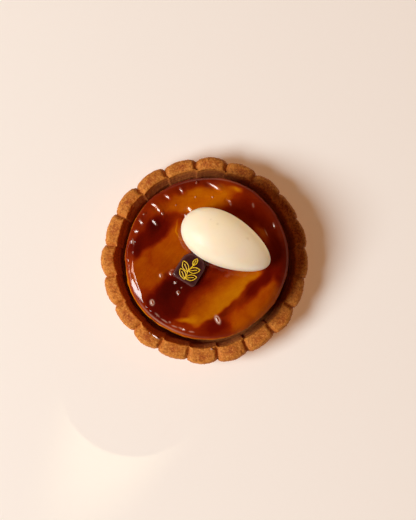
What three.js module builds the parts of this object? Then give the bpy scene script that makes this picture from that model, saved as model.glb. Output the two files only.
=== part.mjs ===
// A small round apple tart: a fluted shortcrust shell, a thick disc of caramelised apple that
// stands proud of it, a spooned oval of cream, and a thin arch-topped tablet of dark chocolate.
// Millimetres, +Z up, +Y towards the back. The origin is the centre of the crust's underside.

import * as THREE from 'three';
import { mergeVertices } from 'three/addons/utils/BufferGeometryUtils.js';

const { degToRad, lerp, smoothstep } = THREE.MathUtils;

// ---- Driving dimensions ------------------------------------------------------------------

// Clear space between two pieces that touch.
const TOUCH_GAP = 0.3;

// Crust: radii and heights of its section, taken through the middle of a flute.
const CRUST_RADIUS = 40;
const CRUST_HEIGHT = 13;
const CRUST_BASE_RADIUS = 34.6;
const CRUST_FOOT_ROUND = 1.6;
const CRUST_WIDEST_HEIGHT = 8.5;
const CRUST_SHOULDER_FULLNESS = 0.92;
const CRUST_CREST_RADIUS = 36.1;
const CRUST_MOUTH_RADIUS = 34.9;
const CRUST_MOUTH_HEIGHT = 12.3;
const CRUST_KNEE_RADIUS = 32.6;
const CRUST_KNEE_HEIGHT = 8.5;
const CRUST_FLOOR_RADIUS = 32;
const CRUST_FLOOR_HEIGHT = 3.5;
const CRUST_CORNER_ROUND = 1;

// The rim is thicker at the front: how far its inner edge comes in there, and over what bearings.
const RIM_FRONT_THICKENING = 1.15;
const RIM_FRONT_BEARING = degToRad(165);
const RIM_FRONT_SPREAD = degToRad(42);

// Flutes that the tin pressed round the crust, with a crease between two flutes.
const FLUTE_COUNT = 20;
const FLUTE_STEPS = 8;
const FLUTE_DEPTH = 0.9;
const FLUTE_DEPTH_AT_BASE = 0.7;
const FLUTE_DEPTH_INSIDE = 0.2;
const FLUTE_TOP_DROP = 0.3;
const CREASE_WIDTH = 1.6;
const CREASE_DEPTH = 0.5;
const CREASE_TOP_DROP = 1.4;
const CREASE_HOLLOW = 1.25;
const CREASE_SHARE_INSIDE = 0.1;
const FIRST_CREASE_BEARING = degToRad(10.35);

// The dough took the tin's flutes less deeply on the right: the share lost, and over what bearings.
const FAINT_LOSS = 0.5;
const FAINT_BEARING = degToRad(72);
const FAINT_SPREAD = degToRad(40);

// How much the steps of a flute crowd towards its creases, from 0 for even steps to 1.
const FLUTE_STEP_CROWDING = 0.6;

// Unevenness of the baked dough: how far single flutes swell and rise, with the turn in radians
// from one flute to the next that keeps neighbours unlike, and how the ring of flutes drifts
// round, in degrees of bearing.
const FLUTE_SWELL = 0.3;
const FLUTE_SWELL_TURN = 2.4;
const FLUTE_RISE = 0.3;
const FLUTE_RISE_TURN = 4.1;
const FLUTE_DRIFTS = [
  { waves: 1, size: 1.37, phase: 42 },
  { waves: 2, size: 1.12, phase: 9 },
];

// Apple disc, and the waves that put its outline out of round, in millimetres.
const APPLE_RADIUS = 30.8;
const APPLE_TOP_HEIGHT = 25;
const APPLE_SHOULDER_WIDTH = 4.5;
const APPLE_SHOULDER_DROP = 2.6;
const APPLE_FOOT_RADIUS = 30.1;
const APPLE_FOOT_ROUND = 1.2;
const APPLE_TOP_RINGS = 6;
const APPLE_STEPS = 72;
const APPLE_WAVES = [
  { waves: 2, size: 0.27, phase: 110 },
  { waves: 5, size: 0.19, phase: 124 },
];

// Apple slices that show in the top as low swells: centre, heading of the long way, size.
const APPLE_SLICES = [
  { x: 3.9, y: -15.3, heading: 27, length: 38, width: 15, rise: 0.45 },
  { x: 18.7, y: -17.2, heading: 48, length: 27, width: 12, rise: 0.35 },
  { x: -17.2, y: 1, heading: 52, length: 33, width: 17, rise: 0.45 },
  { x: -2, y: 22.2, heading: 8, length: 31, width: 10, rise: 0.4 },
  { x: -20.7, y: 13.3, heading: 60, length: 19, width: 9, rise: 0.35 },
  { x: 19.7, y: 7.9, heading: 115, length: 28, width: 13, rise: 0.35 },
];

// Cream: an egg-shaped spoonful, blunt at one end, that settles on the apple. Its width and
// depth are those of the whole egg, of which the underside is pressed flat and the ends droop.
const CREAM_LENGTH = 36.5;
const CREAM_WIDTH = 19.6;
const CREAM_DEPTH = 15.8;
const CREAM_SETTLE = 1.2;
const CREAM_TAPER = 0.21;
const CREAM_DROOP = 1.1;
const CREAM_X = 6.9;
const CREAM_Y = 5.4;
const CREAM_TURN = degToRad(-27);
const CREAM_STEPS_ROUND = 32;
const CREAM_STEPS_LONG = 20;

// Chocolate tablet: straight sides under a round arch, with softened edges.
const TABLET_WIDTH = 9.8;
const TABLET_LENGTH = 12;
const TABLET_THICKNESS = 2;
const TABLET_CORNER = 1.6;
const TABLET_EDGE_ROUND = 0.8;
const TABLET_EDGE_STEPS = 2;
const TABLET_CURVE_STEPS = 5;
const TABLET_X = -6.3;
const TABLET_Y = -4.25;
const TABLET_TURN = degToRad(-32);

// Steps along each curve of a lathe's section.
const SECTION_STEPS = 4;

// Colour and roughness of each piece.
const CRUST_FINISH = { color: 0xbb6930, roughness: 0.85 };
const APPLE_FINISH = { color: 0x96460a, roughness: 0.15 };
const CREAM_FINISH = { color: 0xfae5cb, roughness: 0.45 };
const TABLET_FINISH = { color: 0x462323, roughness: 0.35 };

// ---- Shared helpers ----------------------------------------------------------------------

/** Sum of a few cosine waves at a bearing: zero at the back, growing clockwise from above. */
function wavesAt(bearing, waves) {
  return waves.reduce(
    (sum, wave) => sum + wave.size * Math.cos(wave.waves * bearing - degToRad(wave.phase)),
    0,
  );
}

/** A smooth hump over the bearings: 1 in its middle, falling to nothing past its spread. */
function humpAt(bearing, middle, spread) {
  const gap = Math.atan2(Math.sin(bearing - middle), Math.cos(bearing - middle));
  return Math.exp(-((gap / spread) ** 2));
}

/** Runs over every point of a geometry and lets the rule move it. */
function reshape(geometry, moveByRule) {
  const positions = geometry.getAttribute('position');
  const point = new THREE.Vector3();
  for (let index = 0; index < positions.count; index += 1) {
    point.fromBufferAttribute(positions, index);
    moveByRule(point, index);
    positions.setXYZ(index, point.x, point.y, point.z);
  }
  return geometry;
}

/** A lathe about +Z, from a section of radius and height that starts and ends on the axis. */
function latheAboutZ(section, steps) {
  return new THREE.LatheGeometry(section, steps).rotateX(Math.PI / 2);
}

/** Joins equal points and drops the slivers at the poles, so that the surface is closed. */
function closedSurface(geometry) {
  geometry.deleteAttribute('normal');
  geometry.deleteAttribute('uv');
  const merged = mergeVertices(geometry);
  const corners = merged.index.array;
  const kept = [];
  for (let first = 0; first < corners.length; first += 3) {
    const [a, b, c] = corners.slice(first, first + 3);
    if (a !== b && b !== c && c !== a) {
      kept.push(a, b, c);
    }
  }
  merged.setIndex(kept);
  merged.computeVertexNormals();
  return merged;
}

/** A named mesh of one closed surface with its finish. */
function subPart(name, geometry, finish) {
  const material = new THREE.MeshStandardMaterial({ ...finish, metalness: 0 });
  const mesh = new THREE.Mesh(closedSurface(geometry), material);
  mesh.name = name;
  return mesh;
}

// ---- Crust -------------------------------------------------------------------------------

/** Section of the crust from the middle of its underside, over the rim, to its floor. */
function crustSection() {
  const footRadius = CRUST_BASE_RADIUS + CRUST_FOOT_ROUND;
  const wallLean = CRUST_RADIUS - footRadius;
  const section = new THREE.Path();
  section.moveTo(0, 0);
  section.lineTo(CRUST_BASE_RADIUS, 0);
  section.quadraticCurveTo(footRadius, 0, footRadius + wallLean / 4, CRUST_FOOT_ROUND);
  section.quadraticCurveTo(CRUST_RADIUS, CRUST_WIDEST_HEIGHT / 2, CRUST_RADIUS, CRUST_WIDEST_HEIGHT);
  section.bezierCurveTo(
    CRUST_RADIUS, lerp(CRUST_WIDEST_HEIGHT, CRUST_HEIGHT, CRUST_SHOULDER_FULLNESS),
    lerp(CRUST_CREST_RADIUS, CRUST_RADIUS, CRUST_SHOULDER_FULLNESS), CRUST_HEIGHT,
    CRUST_CREST_RADIUS, CRUST_HEIGHT,
  );
  section.quadraticCurveTo(CRUST_MOUTH_RADIUS, CRUST_HEIGHT, CRUST_MOUTH_RADIUS, CRUST_MOUTH_HEIGHT);
  section.lineTo(CRUST_KNEE_RADIUS, CRUST_KNEE_HEIGHT);
  section.lineTo(CRUST_FLOOR_RADIUS, CRUST_FLOOR_HEIGHT + CRUST_CORNER_ROUND);
  section.lineTo(CRUST_FLOOR_RADIUS - CRUST_CORNER_ROUND, CRUST_FLOOR_HEIGHT);
  section.lineTo(0, CRUST_FLOOR_HEIGHT);
  return section.getPoints(SECTION_STEPS);
}

/**
 * What the flutes do at one step round the crust: its bearing, the scallop and the crease as
 * fractions of their depths, and the share of the flute's own swell and rise.
 */
function fluteAt(step) {
  const evenPlace = (step / FLUTE_STEPS) % FLUTE_COUNT;
  const flute = Math.floor(evenPlace);
  const even = evenPlace - flute;
  const across = even - (FLUTE_STEP_CROWDING * Math.sin(2 * Math.PI * even)) / (2 * Math.PI);
  const pitch = (2 * Math.PI) / FLUTE_COUNT;
  const evenBearing = FIRST_CREASE_BEARING + (flute + across) * pitch;
  const fromCrease = Math.min(across, 1 - across) * pitch * CRUST_RADIUS;
  const fullness = Math.sin(Math.PI * across);
  const pressed = 1 - FAINT_LOSS * humpAt(evenBearing, FAINT_BEARING, FAINT_SPREAD);
  return {
    bearing: evenBearing + degToRad(wavesAt(evenBearing, FLUTE_DRIFTS)),
    scallop: pressed * (1 - fullness),
    crease: pressed * Math.max(0, 1 - fromCrease / CREASE_WIDTH) ** CREASE_HOLLOW,
    swell: FLUTE_SWELL * Math.sin(flute * FLUTE_SWELL_TURN) * fullness ** 2,
    rise: FLUTE_RISE * Math.sin(flute * FLUTE_RISE_TURN) * fullness ** 2,
  };
}

/** How deep the flutes bite into the section at one of its points, on either side of the rim. */
function fluteDepthAt(point, isOutside) {
  const inside = FLUTE_DEPTH_INSIDE * smoothstep(point.y, CRUST_FLOOR_HEIGHT, CRUST_MOUTH_HEIGHT);
  if (!isOutside) {
    return inside;
  }
  const outside = lerp(
    FLUTE_DEPTH_AT_BASE,
    FLUTE_DEPTH,
    smoothstep(point.y, 0, CRUST_WIDEST_HEIGHT),
  );
  const overTheRim = smoothstep(point.y, CRUST_MOUTH_HEIGHT, CRUST_HEIGHT);
  return lerp(outside, (outside + inside) / 2, overTheRim);
}

/** How far the rim's inner edge comes in at a bearing, which is furthest at the front. */
function rimThickeningAt(bearing) {
  return RIM_FRONT_THICKENING * humpAt(bearing, RIM_FRONT_BEARING, RIM_FRONT_SPREAD);
}

/** Share of a crease that is left at a point of the section: it fades past the crest. */
function creaseShareAt(point, isOutside) {
  const pastCrest = smoothstep(CRUST_CREST_RADIUS - point.x, 0, CRUST_CREST_RADIUS - CRUST_MOUTH_RADIUS);
  return isOutside ? 1 : lerp(1, CREASE_SHARE_INSIDE, pastCrest);
}

/** The shell: a lathe whose wall and rim are drawn in at every crease. */
function crustGeometry() {
  const section = crustSection();
  const crestHeight = Math.max(...section.map((point) => point.y));
  const crestIndex = section.findIndex((point) => point.y === crestHeight);
  const stepCount = FLUTE_COUNT * FLUTE_STEPS;
  return reshape(latheAboutZ(section, stepCount), (point, index) => {
    const onSection = section[index % section.length];
    const step = stepCount - Math.floor(index / section.length);
    const flute = fluteAt(step);
    const isOutside = index % section.length <= crestIndex;
    const depth = fluteDepthAt(onSection, isOutside);
    const share = creaseShareAt(onSection, isOutside);
    const lift = share * smoothstep(onSection.y, CRUST_WIDEST_HEIGHT, CRUST_HEIGHT);
    const bite = depth * flute.scallop + CREASE_DEPTH * flute.crease * (isOutside ? 1 : lift);
    const swell = flute.swell * smoothstep(onSection.y, 0, CRUST_WIDEST_HEIGHT);
    const closing = isOutside ? 0 : rimThickeningAt(flute.bearing)
      * smoothstep(onSection.y, CRUST_FLOOR_HEIGHT + CRUST_CORNER_ROUND, CRUST_MOUTH_HEIGHT);
    const radius = onSection.x > 0 ? onSection.x - bite - closing + swell : 0;
    const drop = FLUTE_TOP_DROP * flute.scallop + CREASE_TOP_DROP * flute.crease - flute.rise;
    point.set(
      radius * Math.sin(flute.bearing),
      radius * Math.cos(flute.bearing),
      onSection.y - drop * lift,
    );
  });
}

// ---- Apple disc --------------------------------------------------------------------------

/** Swell of one slice at a point of the top: full in its middle, none past its outline. */
function sliceSwell(slice, x, y) {
  const heading = degToRad(slice.heading);
  const alongX = x - slice.x;
  const alongY = y - slice.y;
  const along = (alongX * Math.cos(heading) + alongY * Math.sin(heading)) / (slice.length / 2);
  const across = (alongY * Math.cos(heading) - alongX * Math.sin(heading)) / (slice.width / 2);
  return slice.rise * smoothstep(1 - (along ** 2 + across ** 2), 0, 1);
}

/** Height of the apple's top at a point. */
function appleTopAt(x, y) {
  const swells = APPLE_SLICES.map((slice) => sliceSwell(slice, x, y));
  return APPLE_TOP_HEIGHT + Math.max(...swells);
}

/** Section of the disc from the middle of its underside to the middle of its top. */
function appleSection() {
  const foot = CRUST_FLOOR_HEIGHT + TOUCH_GAP;
  const shoulderHeight = APPLE_TOP_HEIGHT - APPLE_SHOULDER_DROP;
  const flatRadius = APPLE_RADIUS - APPLE_SHOULDER_WIDTH;
  const section = new THREE.Path();
  section.moveTo(0, foot);
  section.lineTo(APPLE_FOOT_RADIUS - APPLE_FOOT_ROUND, foot);
  section.lineTo(APPLE_FOOT_RADIUS, foot + APPLE_FOOT_ROUND);
  section.lineTo(APPLE_RADIUS, (foot + shoulderHeight) / 2);
  section.lineTo(APPLE_RADIUS, shoulderHeight);
  section.absellipse(
    flatRadius, shoulderHeight,
    APPLE_SHOULDER_WIDTH, APPLE_SHOULDER_DROP,
    0, Math.PI / 2, false, 0,
  );
  for (let ring = APPLE_TOP_RINGS - 1; ring >= 0; ring -= 1) {
    section.lineTo((flatRadius * ring) / APPLE_TOP_RINGS, APPLE_TOP_HEIGHT);
  }
  return section.getPoints(SECTION_STEPS / 2);
}

/** The disc: a lathe that is slightly out of round, with the slices' swells on its top. */
function appleGeometry() {
  return reshape(latheAboutZ(appleSection(), APPLE_STEPS), (point) => {
    const bearing = Math.atan2(point.x, point.y);
    const radius = Math.hypot(point.x, point.y);
    const stretch = 1 + (wavesAt(bearing, APPLE_WAVES) * radius) / APPLE_RADIUS ** 2;
    point.x *= stretch;
    point.y *= stretch;
    const onTop = smoothstep(point.z, APPLE_TOP_HEIGHT - APPLE_SHOULDER_DROP, APPLE_TOP_HEIGHT);
    point.z += (appleTopAt(point.x, point.y) - APPLE_TOP_HEIGHT) * onTop;
  });
}

// ---- Cream -------------------------------------------------------------------------------

/** The spoonful: an egg on its side, pressed flat where it lies on the apple. */
function creamGeometry() {
  const egg = new THREE.SphereGeometry(1, CREAM_STEPS_ROUND, CREAM_STEPS_LONG);
  egg.rotateZ(-Math.PI / 2);
  reshape(egg, (point) => {
    const along = point.x;
    const girth = 1 - CREAM_TAPER * along;
    point.x *= CREAM_LENGTH / 2;
    point.y *= (girth * CREAM_WIDTH) / 2;
    point.z = (point.z * girth * CREAM_DEPTH) / 2 - CREAM_DROOP * (along ** 2);
  });
  egg.rotateZ(CREAM_TURN);
  egg.translate(CREAM_X, CREAM_Y, APPLE_TOP_HEIGHT + CREAM_DEPTH / 2 - CREAM_SETTLE);
  return reshape(egg, (point) => {
    point.z = Math.max(point.z, appleTopAt(point.x, point.y) + TOUCH_GAP);
  });
}

// ---- Chocolate tablet --------------------------------------------------------------------

/** Outline of the tablet: a straight foot with small round corners, and an arch on top. */
function tabletOutline() {
  const side = TABLET_WIDTH / 2;
  const foot = -TABLET_LENGTH / 2;
  const springing = TABLET_LENGTH / 2 - side;
  const outline = new THREE.Shape();
  outline.moveTo(-side + TABLET_CORNER, foot);
  outline.lineTo(side - TABLET_CORNER, foot);
  outline.quadraticCurveTo(side, foot, side, foot + TABLET_CORNER);
  outline.absarc(0, springing, side, 0, Math.PI, false);
  outline.lineTo(-side, foot + TABLET_CORNER);
  outline.quadraticCurveTo(-side, foot, -side + TABLET_CORNER, foot);
  return outline;
}

/** Highest point of the apple's top under a circle. */
function highestAppleUnder(x, y, radius) {
  const bearings = Array.from({ length: APPLE_STEPS }, (_, step) => (step * 2 * Math.PI) / APPLE_STEPS);
  const heights = bearings.map((bearing) => (
    appleTopAt(x + radius * Math.sin(bearing), y + radius * Math.cos(bearing))
  ));
  return Math.max(appleTopAt(x, y), ...heights);
}

/** The tablet: its outline given a thickness, lying flat on the apple. */
function tabletGeometry() {
  const tablet = new THREE.ExtrudeGeometry(tabletOutline(), {
    depth: TABLET_THICKNESS - 2 * TABLET_EDGE_ROUND,
    bevelThickness: TABLET_EDGE_ROUND,
    bevelSize: TABLET_EDGE_ROUND,
    bevelOffset: -TABLET_EDGE_ROUND,
    bevelSegments: TABLET_EDGE_STEPS,
    curveSegments: TABLET_CURVE_STEPS,
  });
  const rest = highestAppleUnder(TABLET_X, TABLET_Y, TABLET_LENGTH / 2) + TOUCH_GAP;
  tablet.rotateZ(TABLET_TURN);
  tablet.translate(TABLET_X, TABLET_Y, rest + TABLET_EDGE_ROUND);
  return tablet;
}

// ---- The tart ----------------------------------------------------------------------------

const tart = new THREE.Group();
tart.add(subPart('crust', crustGeometry(), CRUST_FINISH));
tart.add(subPart('apple_disc', appleGeometry(), APPLE_FINISH));
tart.add(subPart('cream_quenelle', creamGeometry(), CREAM_FINISH));
tart.add(subPart('chocolate_tablet', tabletGeometry(), TABLET_FINISH));

export default tart;
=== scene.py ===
"""A small round apple tart, dressed around its CAD frame.

A fluted shortcrust shell holds a thick disc of caramelised apple under a clear glaze, with a
spooned oval of cream and an arch-topped tablet of dark chocolate on it. Metres, +Z up, +Y
towards the back. Sizes are written in millimetres and turned into metres where a mesh is made.
"""

from __future__ import annotations

import logging
import math
from dataclasses import dataclass, field
from enum import Enum
from typing import Sequence, Union

import bpy
import numpy as np
from mathutils import Matrix, Vector


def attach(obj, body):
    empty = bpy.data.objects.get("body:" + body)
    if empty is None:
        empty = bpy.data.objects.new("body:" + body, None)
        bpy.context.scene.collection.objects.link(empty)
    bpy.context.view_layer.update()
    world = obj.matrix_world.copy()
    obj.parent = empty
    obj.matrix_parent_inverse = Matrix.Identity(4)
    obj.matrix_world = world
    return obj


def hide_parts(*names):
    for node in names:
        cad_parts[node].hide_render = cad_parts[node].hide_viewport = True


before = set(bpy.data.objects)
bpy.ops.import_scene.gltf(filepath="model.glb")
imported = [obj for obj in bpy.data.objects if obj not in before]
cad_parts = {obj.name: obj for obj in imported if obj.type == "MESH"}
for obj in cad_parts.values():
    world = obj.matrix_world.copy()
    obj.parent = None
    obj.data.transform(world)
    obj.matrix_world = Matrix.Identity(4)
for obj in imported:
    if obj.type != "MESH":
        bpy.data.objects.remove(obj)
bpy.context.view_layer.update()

LOG = logging.getLogger("tart")
MM = 0.001
TURN = 2 * math.pi
BODY = "root"

# Seen colours are bytes of the picture. A matt surface of reflectance 1 that lies level under
# the studio's light shows this linear colour, so a seen colour over it is a reflectance.
LEVEL_WHITE = (1.131, 0.96, 0.814)


class Slot(Enum):
    """Material slots."""

    CRUST = "crust"
    APPLE = "apple"
    CREAM = "cream"
    CHOCOLATE = "chocolate"


class Solid(Enum):
    """Solids of the frame that pieces stand for."""

    CRUST = "crust"
    APPLE = "apple_disc"
    CREAM = "cream_quenelle"
    TABLET = "chocolate_tablet"


class LampShape(Enum):
    """Outlines of the flat lights."""

    OVAL = "ELLIPSE"
    OBLONG = "RECTANGLE"


# ---- Numbers and shapes ----------------------------------------------------------------------


def reflectance(red: float, green: float, blue: float) -> tuple[float, float, float, float]:
    """Turns a colour as it is seen on a level matt surface into a reflectance.

    Args:
        red: Red byte of the seen colour.
        green: Green byte of the seen colour.
        blue: Blue byte of the seen colour.

    Returns:
        Linear red, green, blue and an alpha of one.
    """
    seen = np.array([red, green, blue]) / 255
    linear = np.where(seen <= 0.04045, seen / 12.92, ((seen + 0.055) / 1.055) ** 2.4)
    return (*np.minimum(linear / LEVEL_WHITE, 1.0).tolist(), 1.0)


def smoothstep(value: np.ndarray, low: float, high: float) -> np.ndarray:
    """Rises smoothly from 0 at the low end to 1 at the high end."""
    share = np.clip((value - low) / (high - low), 0, 1)
    return share * share * (3 - 2 * share)


def bell(value: np.ndarray) -> np.ndarray:
    """A smooth hump: 1 at zero, falling to nothing on both sides."""
    return np.exp(-(value**2))


def bezier(points: Sequence[tuple[float, float]], steps: int) -> np.ndarray:
    """Points along a Bezier curve of any degree, without its first point.

    Args:
        points: Control points, with two for a straight line.
        steps: Number of steps along the curve.

    Returns:
        One row of radius and height for each step.
    """
    share = np.linspace(0, 1, steps + 1)[1:, None]
    level = [np.broadcast_to(np.array(point, float), (steps, 2)) for point in points]
    while len(level) > 1:
        level = [a + (b - a) * share for a, b in zip(level, level[1:])]
    return level[0]


@dataclass(frozen=True)
class Wave:
    """A cosine wave round the tart, with its phase in degrees."""

    waves: int
    size: float
    phase: float


def waves_at(bearing: np.ndarray, waves: Sequence[Wave]) -> np.ndarray:
    """Sum of waves at a bearing, which is zero at the back and grows clockwise from above."""
    return sum(wave.size * np.cos(wave.waves * bearing - math.radians(wave.phase)) for wave in waves)





@dataclass(frozen=True)
class Stretch:
    """A stretch of the rim: bearing of its middle and spread in degrees, and its strength."""

    bearing: float
    spread: float
    strength: float = 1

    def at(self, bearing: np.ndarray) -> np.ndarray:
        """Strength of the stretch at a bearing, which fades away from its middle."""
        gap = (np.degrees(bearing) - self.bearing + 180) % 360 - 180
        return self.strength * bell(gap / self.spread)


class Seed(Enum):
    """Seeds of the noises."""

    RIPPLES = 3
    SIDE = 8
    FLESH = 12
    CREAM = 17
    CARAMEL = 21


class SoftNoise:
    """Smooth random waves over a plane, the same in every run, which repeat after CELLS cells."""

    CELLS = 64

    def __init__(self, seed: Seed) -> None:
        """Draws the lattice of random heights from a seed."""
        self.heights = np.random.default_rng(seed.value).uniform(-1, 1, (self.CELLS, self.CELLS))

    def __call__(self, x: np.ndarray, y: np.ndarray, size: float) -> np.ndarray:
        """Noise between -1 and 1 at places in the plane.

        Args:
            x: First coordinate.
            y: Second coordinate.
            size: Width of one wave, in the unit of the coordinates.

        Returns:
            The noise, one value for each place.
        """
        column, row = x / size, y / size
        left, low = np.floor(column).astype(int), np.floor(row).astype(int)
        across, up = smoothstep(column - left, 0, 1), smoothstep(row - low, 0, 1)
        lower, upper = (
            self._height(left, low + step) * (1 - across) + self._height(left + 1, low + step) * across
            for step in (0, 1)
        )
        return lower * (1 - up) + upper * up

    def _height(self, column: np.ndarray, row: np.ndarray) -> np.ndarray:
        """Height of the lattice at its corners."""
        return self.heights[column % self.CELLS, row % self.CELLS]


@dataclass(frozen=True)
class Ripple:
    """One size of soft noise: its height, the width of its waves, and how far along it is read."""

    height: float
    width: float
    east: float = 0
    north: float = 0


def rippled(
    start: np.ndarray | float, noise: SoftNoise, ripples: Sequence[Ripple], x: np.ndarray, y: np.ndarray
) -> np.ndarray:
    """Adds ripples to a value.

    Args:
        start: The value without ripples.
        noise: The noise that they are read from.
        ripples: The ripples.
        x: First coordinate of the places.
        y: Second coordinate of the places.

    Returns:
        The value with the ripples, one for each place.
    """
    for ripple in ripples:
        start = start + ripple.height * noise(x + ripple.east, y + ripple.north, ripple.width)
    return start


@dataclass(frozen=True)
class Mark:
    """Something long that lies on the tart: centre, heading in degrees, and size, in mm."""

    x: float
    y: float
    heading: float
    length: float
    width: float

    def local(self, x: np.ndarray, y: np.ndarray) -> tuple[np.ndarray, np.ndarray]:
        """Turns places on the tart into the mark's own directions.

        Args:
            x: Places to the right.
            y: Places to the back.

        Returns:
            Places along and across the mark, in mm from its centre.
        """
        heading = math.radians(self.heading)
        east, north = x - self.x, y - self.y
        along = east * math.cos(heading) + north * math.sin(heading)
        return along, north * math.cos(heading) - east * math.sin(heading)


@dataclass
class Grid:
    """A closed surface of rings between two poles, whose points can be moved by rules."""

    points: np.ndarray
    faces: list[tuple[int, ...]]
    steps: int

    @classmethod
    def lathe(cls, section: np.ndarray, steps: int) -> "Grid":
        """Turns a section about +Z.

        Args:
            section: Rows of radius and height from axis to axis, outer side on the right.
            steps: Steps of the full turn.

        Returns:
            The surface, facing out, in the unit of the section.
        """
        angle = np.arange(steps) * TURN / steps
        radius, height = section[1:-1].T
        across, along = np.outer(radius, np.cos(angle)), np.outer(radius, np.sin(angle))
        body = np.stack([across, along, np.outer(height, np.ones(steps))], axis=2).reshape(-1, 3)
        poles = np.array([[0, 0, section[0, 1]], [0, 0, section[-1, 1]]])
        return cls(np.vstack([body, poles]), cls.joined(len(radius), steps), steps)

    @staticmethod
    def joined(rings: int, steps: int) -> list[tuple[int, ...]]:
        """Joins rings to their neighbours, and the first and last ring to a pole.

        Args:
            rings: Number of rings, whose points come first.
            steps: Points of each ring.

        Returns:
            Corners of each face.
        """
        here = np.arange(steps)
        after = (here + 1) % steps
        faces: list[tuple[int, ...]] = []
        for ring in range(rings - 1):
            low, high = ring * steps, (ring + 1) * steps
            faces += zip(low + here, low + after, high + after, high + here)
        first, last = rings * steps, rings * steps + 1
        top = (rings - 1) * steps
        faces += [(first, b, a) for a, b in zip(here, after)]
        faces += [(last, top + a, top + b) for a, b in zip(here, after)]
        return [tuple(int(corner) for corner in face) for face in faces]

    def per_ring(self, values: np.ndarray) -> np.ndarray:
        """Spreads one value for each point of the section over the whole surface."""
        return np.concatenate([np.repeat(values[1:-1], self.steps), values[[0, -1]]])

    def mesh(self, name: str, fields: dict[str, np.ndarray] | None = None) -> bpy.types.Mesh:
        """Makes the smooth mesh, in metres.

        Args:
            name: Name of the mesh.
            fields: Values to store at the points, by name: one column or three.

        Returns:
            The new mesh.
        """
        return smooth_mesh(name, self.points * MM, self.faces, fields)


def smooth_mesh(
    name: str,
    points: np.ndarray,
    faces: Sequence[tuple[int, ...]],
    fields: dict[str, np.ndarray] | None = None,
) -> bpy.types.Mesh:
    """Makes a smooth shaded mesh with values stored at its points.

    Args:
        name: Name of the mesh.
        points: Points in metres.
        faces: Corners of each face.
        fields: Values to store at the points, by name: one column or three.

    Returns:
        The new mesh.
    """
    mesh = bpy.data.meshes.new(name)
    mesh.from_pydata(points.tolist(), [], faces)
    mesh.polygons.foreach_set("use_smooth", [True] * len(mesh.polygons))
    for label, values in (fields or {}).items():
        kind = "FLOAT" if values.ndim == 1 else "FLOAT_VECTOR"
        stored = mesh.attributes.new(label, kind, "POINT")
        stored.data.foreach_set("value" if values.ndim == 1 else "vector", values.ravel())
    mesh.update()
    return mesh


def placed(name: str, mesh: bpy.types.ID) -> bpy.types.Object:
    """Puts data into the scene as an object at the origin.

    Args:
        name: Name of the object.
        mesh: Mesh, curve, light or camera.

    Returns:
        The object.
    """
    piece = bpy.data.objects.new(name, mesh)
    bpy.context.scene.collection.objects.link(piece)
    return piece


# ---- Node trees ------------------------------------------------------------------------------

Value = Union["Field", bpy.types.NodeSocket, float, int, str, tuple]


class Field:
    """A value that changes over a surface. Arithmetic on it adds math nodes to its tree."""

    def __init__(self, graph: "Graph", socket: bpy.types.NodeSocket) -> None:
        """Wraps an output socket of a graph's tree."""
        self.graph = graph
        self.socket = socket

    def math(self, operation: str, *others: Value) -> "Field":
        """Adds one math node with this value as its first input."""
        return self.graph.math(operation, self, *others)

    def __add__(self, other: Value) -> "Field":
        """Sum."""
        return self.math("ADD", other)

    def __sub__(self, other: Value) -> "Field":
        """Difference."""
        return self.math("SUBTRACT", other)

    def __rsub__(self, other: Value) -> "Field":
        """A number less this value."""
        return self.graph.math("SUBTRACT", other, self)

    def __mul__(self, other: Value) -> "Field":
        """Product."""
        return self.math("MULTIPLY", other)

    def __truediv__(self, other: Value) -> "Field":
        """Quotient."""
        return self.math("DIVIDE", other)

    def __neg__(self) -> "Field":
        """The value with its sign turned."""
        return self.math("MULTIPLY", -1)

    def __pow__(self, other: Value) -> "Field":
        """Power."""
        return self.math("POWER", other)

    __radd__ = __add__
    __rmul__ = __mul__

    def clamped(self) -> "Field":
        """The value kept between 0 and 1."""
        return self.math("MAXIMUM", 0).math("MINIMUM", 1)

    def smooth(self, low: Value, high: Value, start: Value = 0, end: Value = 1) -> "Field":
        """Smooth ramp of this value, from the start at the low end to the end at the high end."""
        inputs = dict(enumerate((self, low, high, start, end)))
        return self.graph.fed("ShaderNodeMapRange", inputs, interpolation_type="SMOOTHSTEP")


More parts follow.
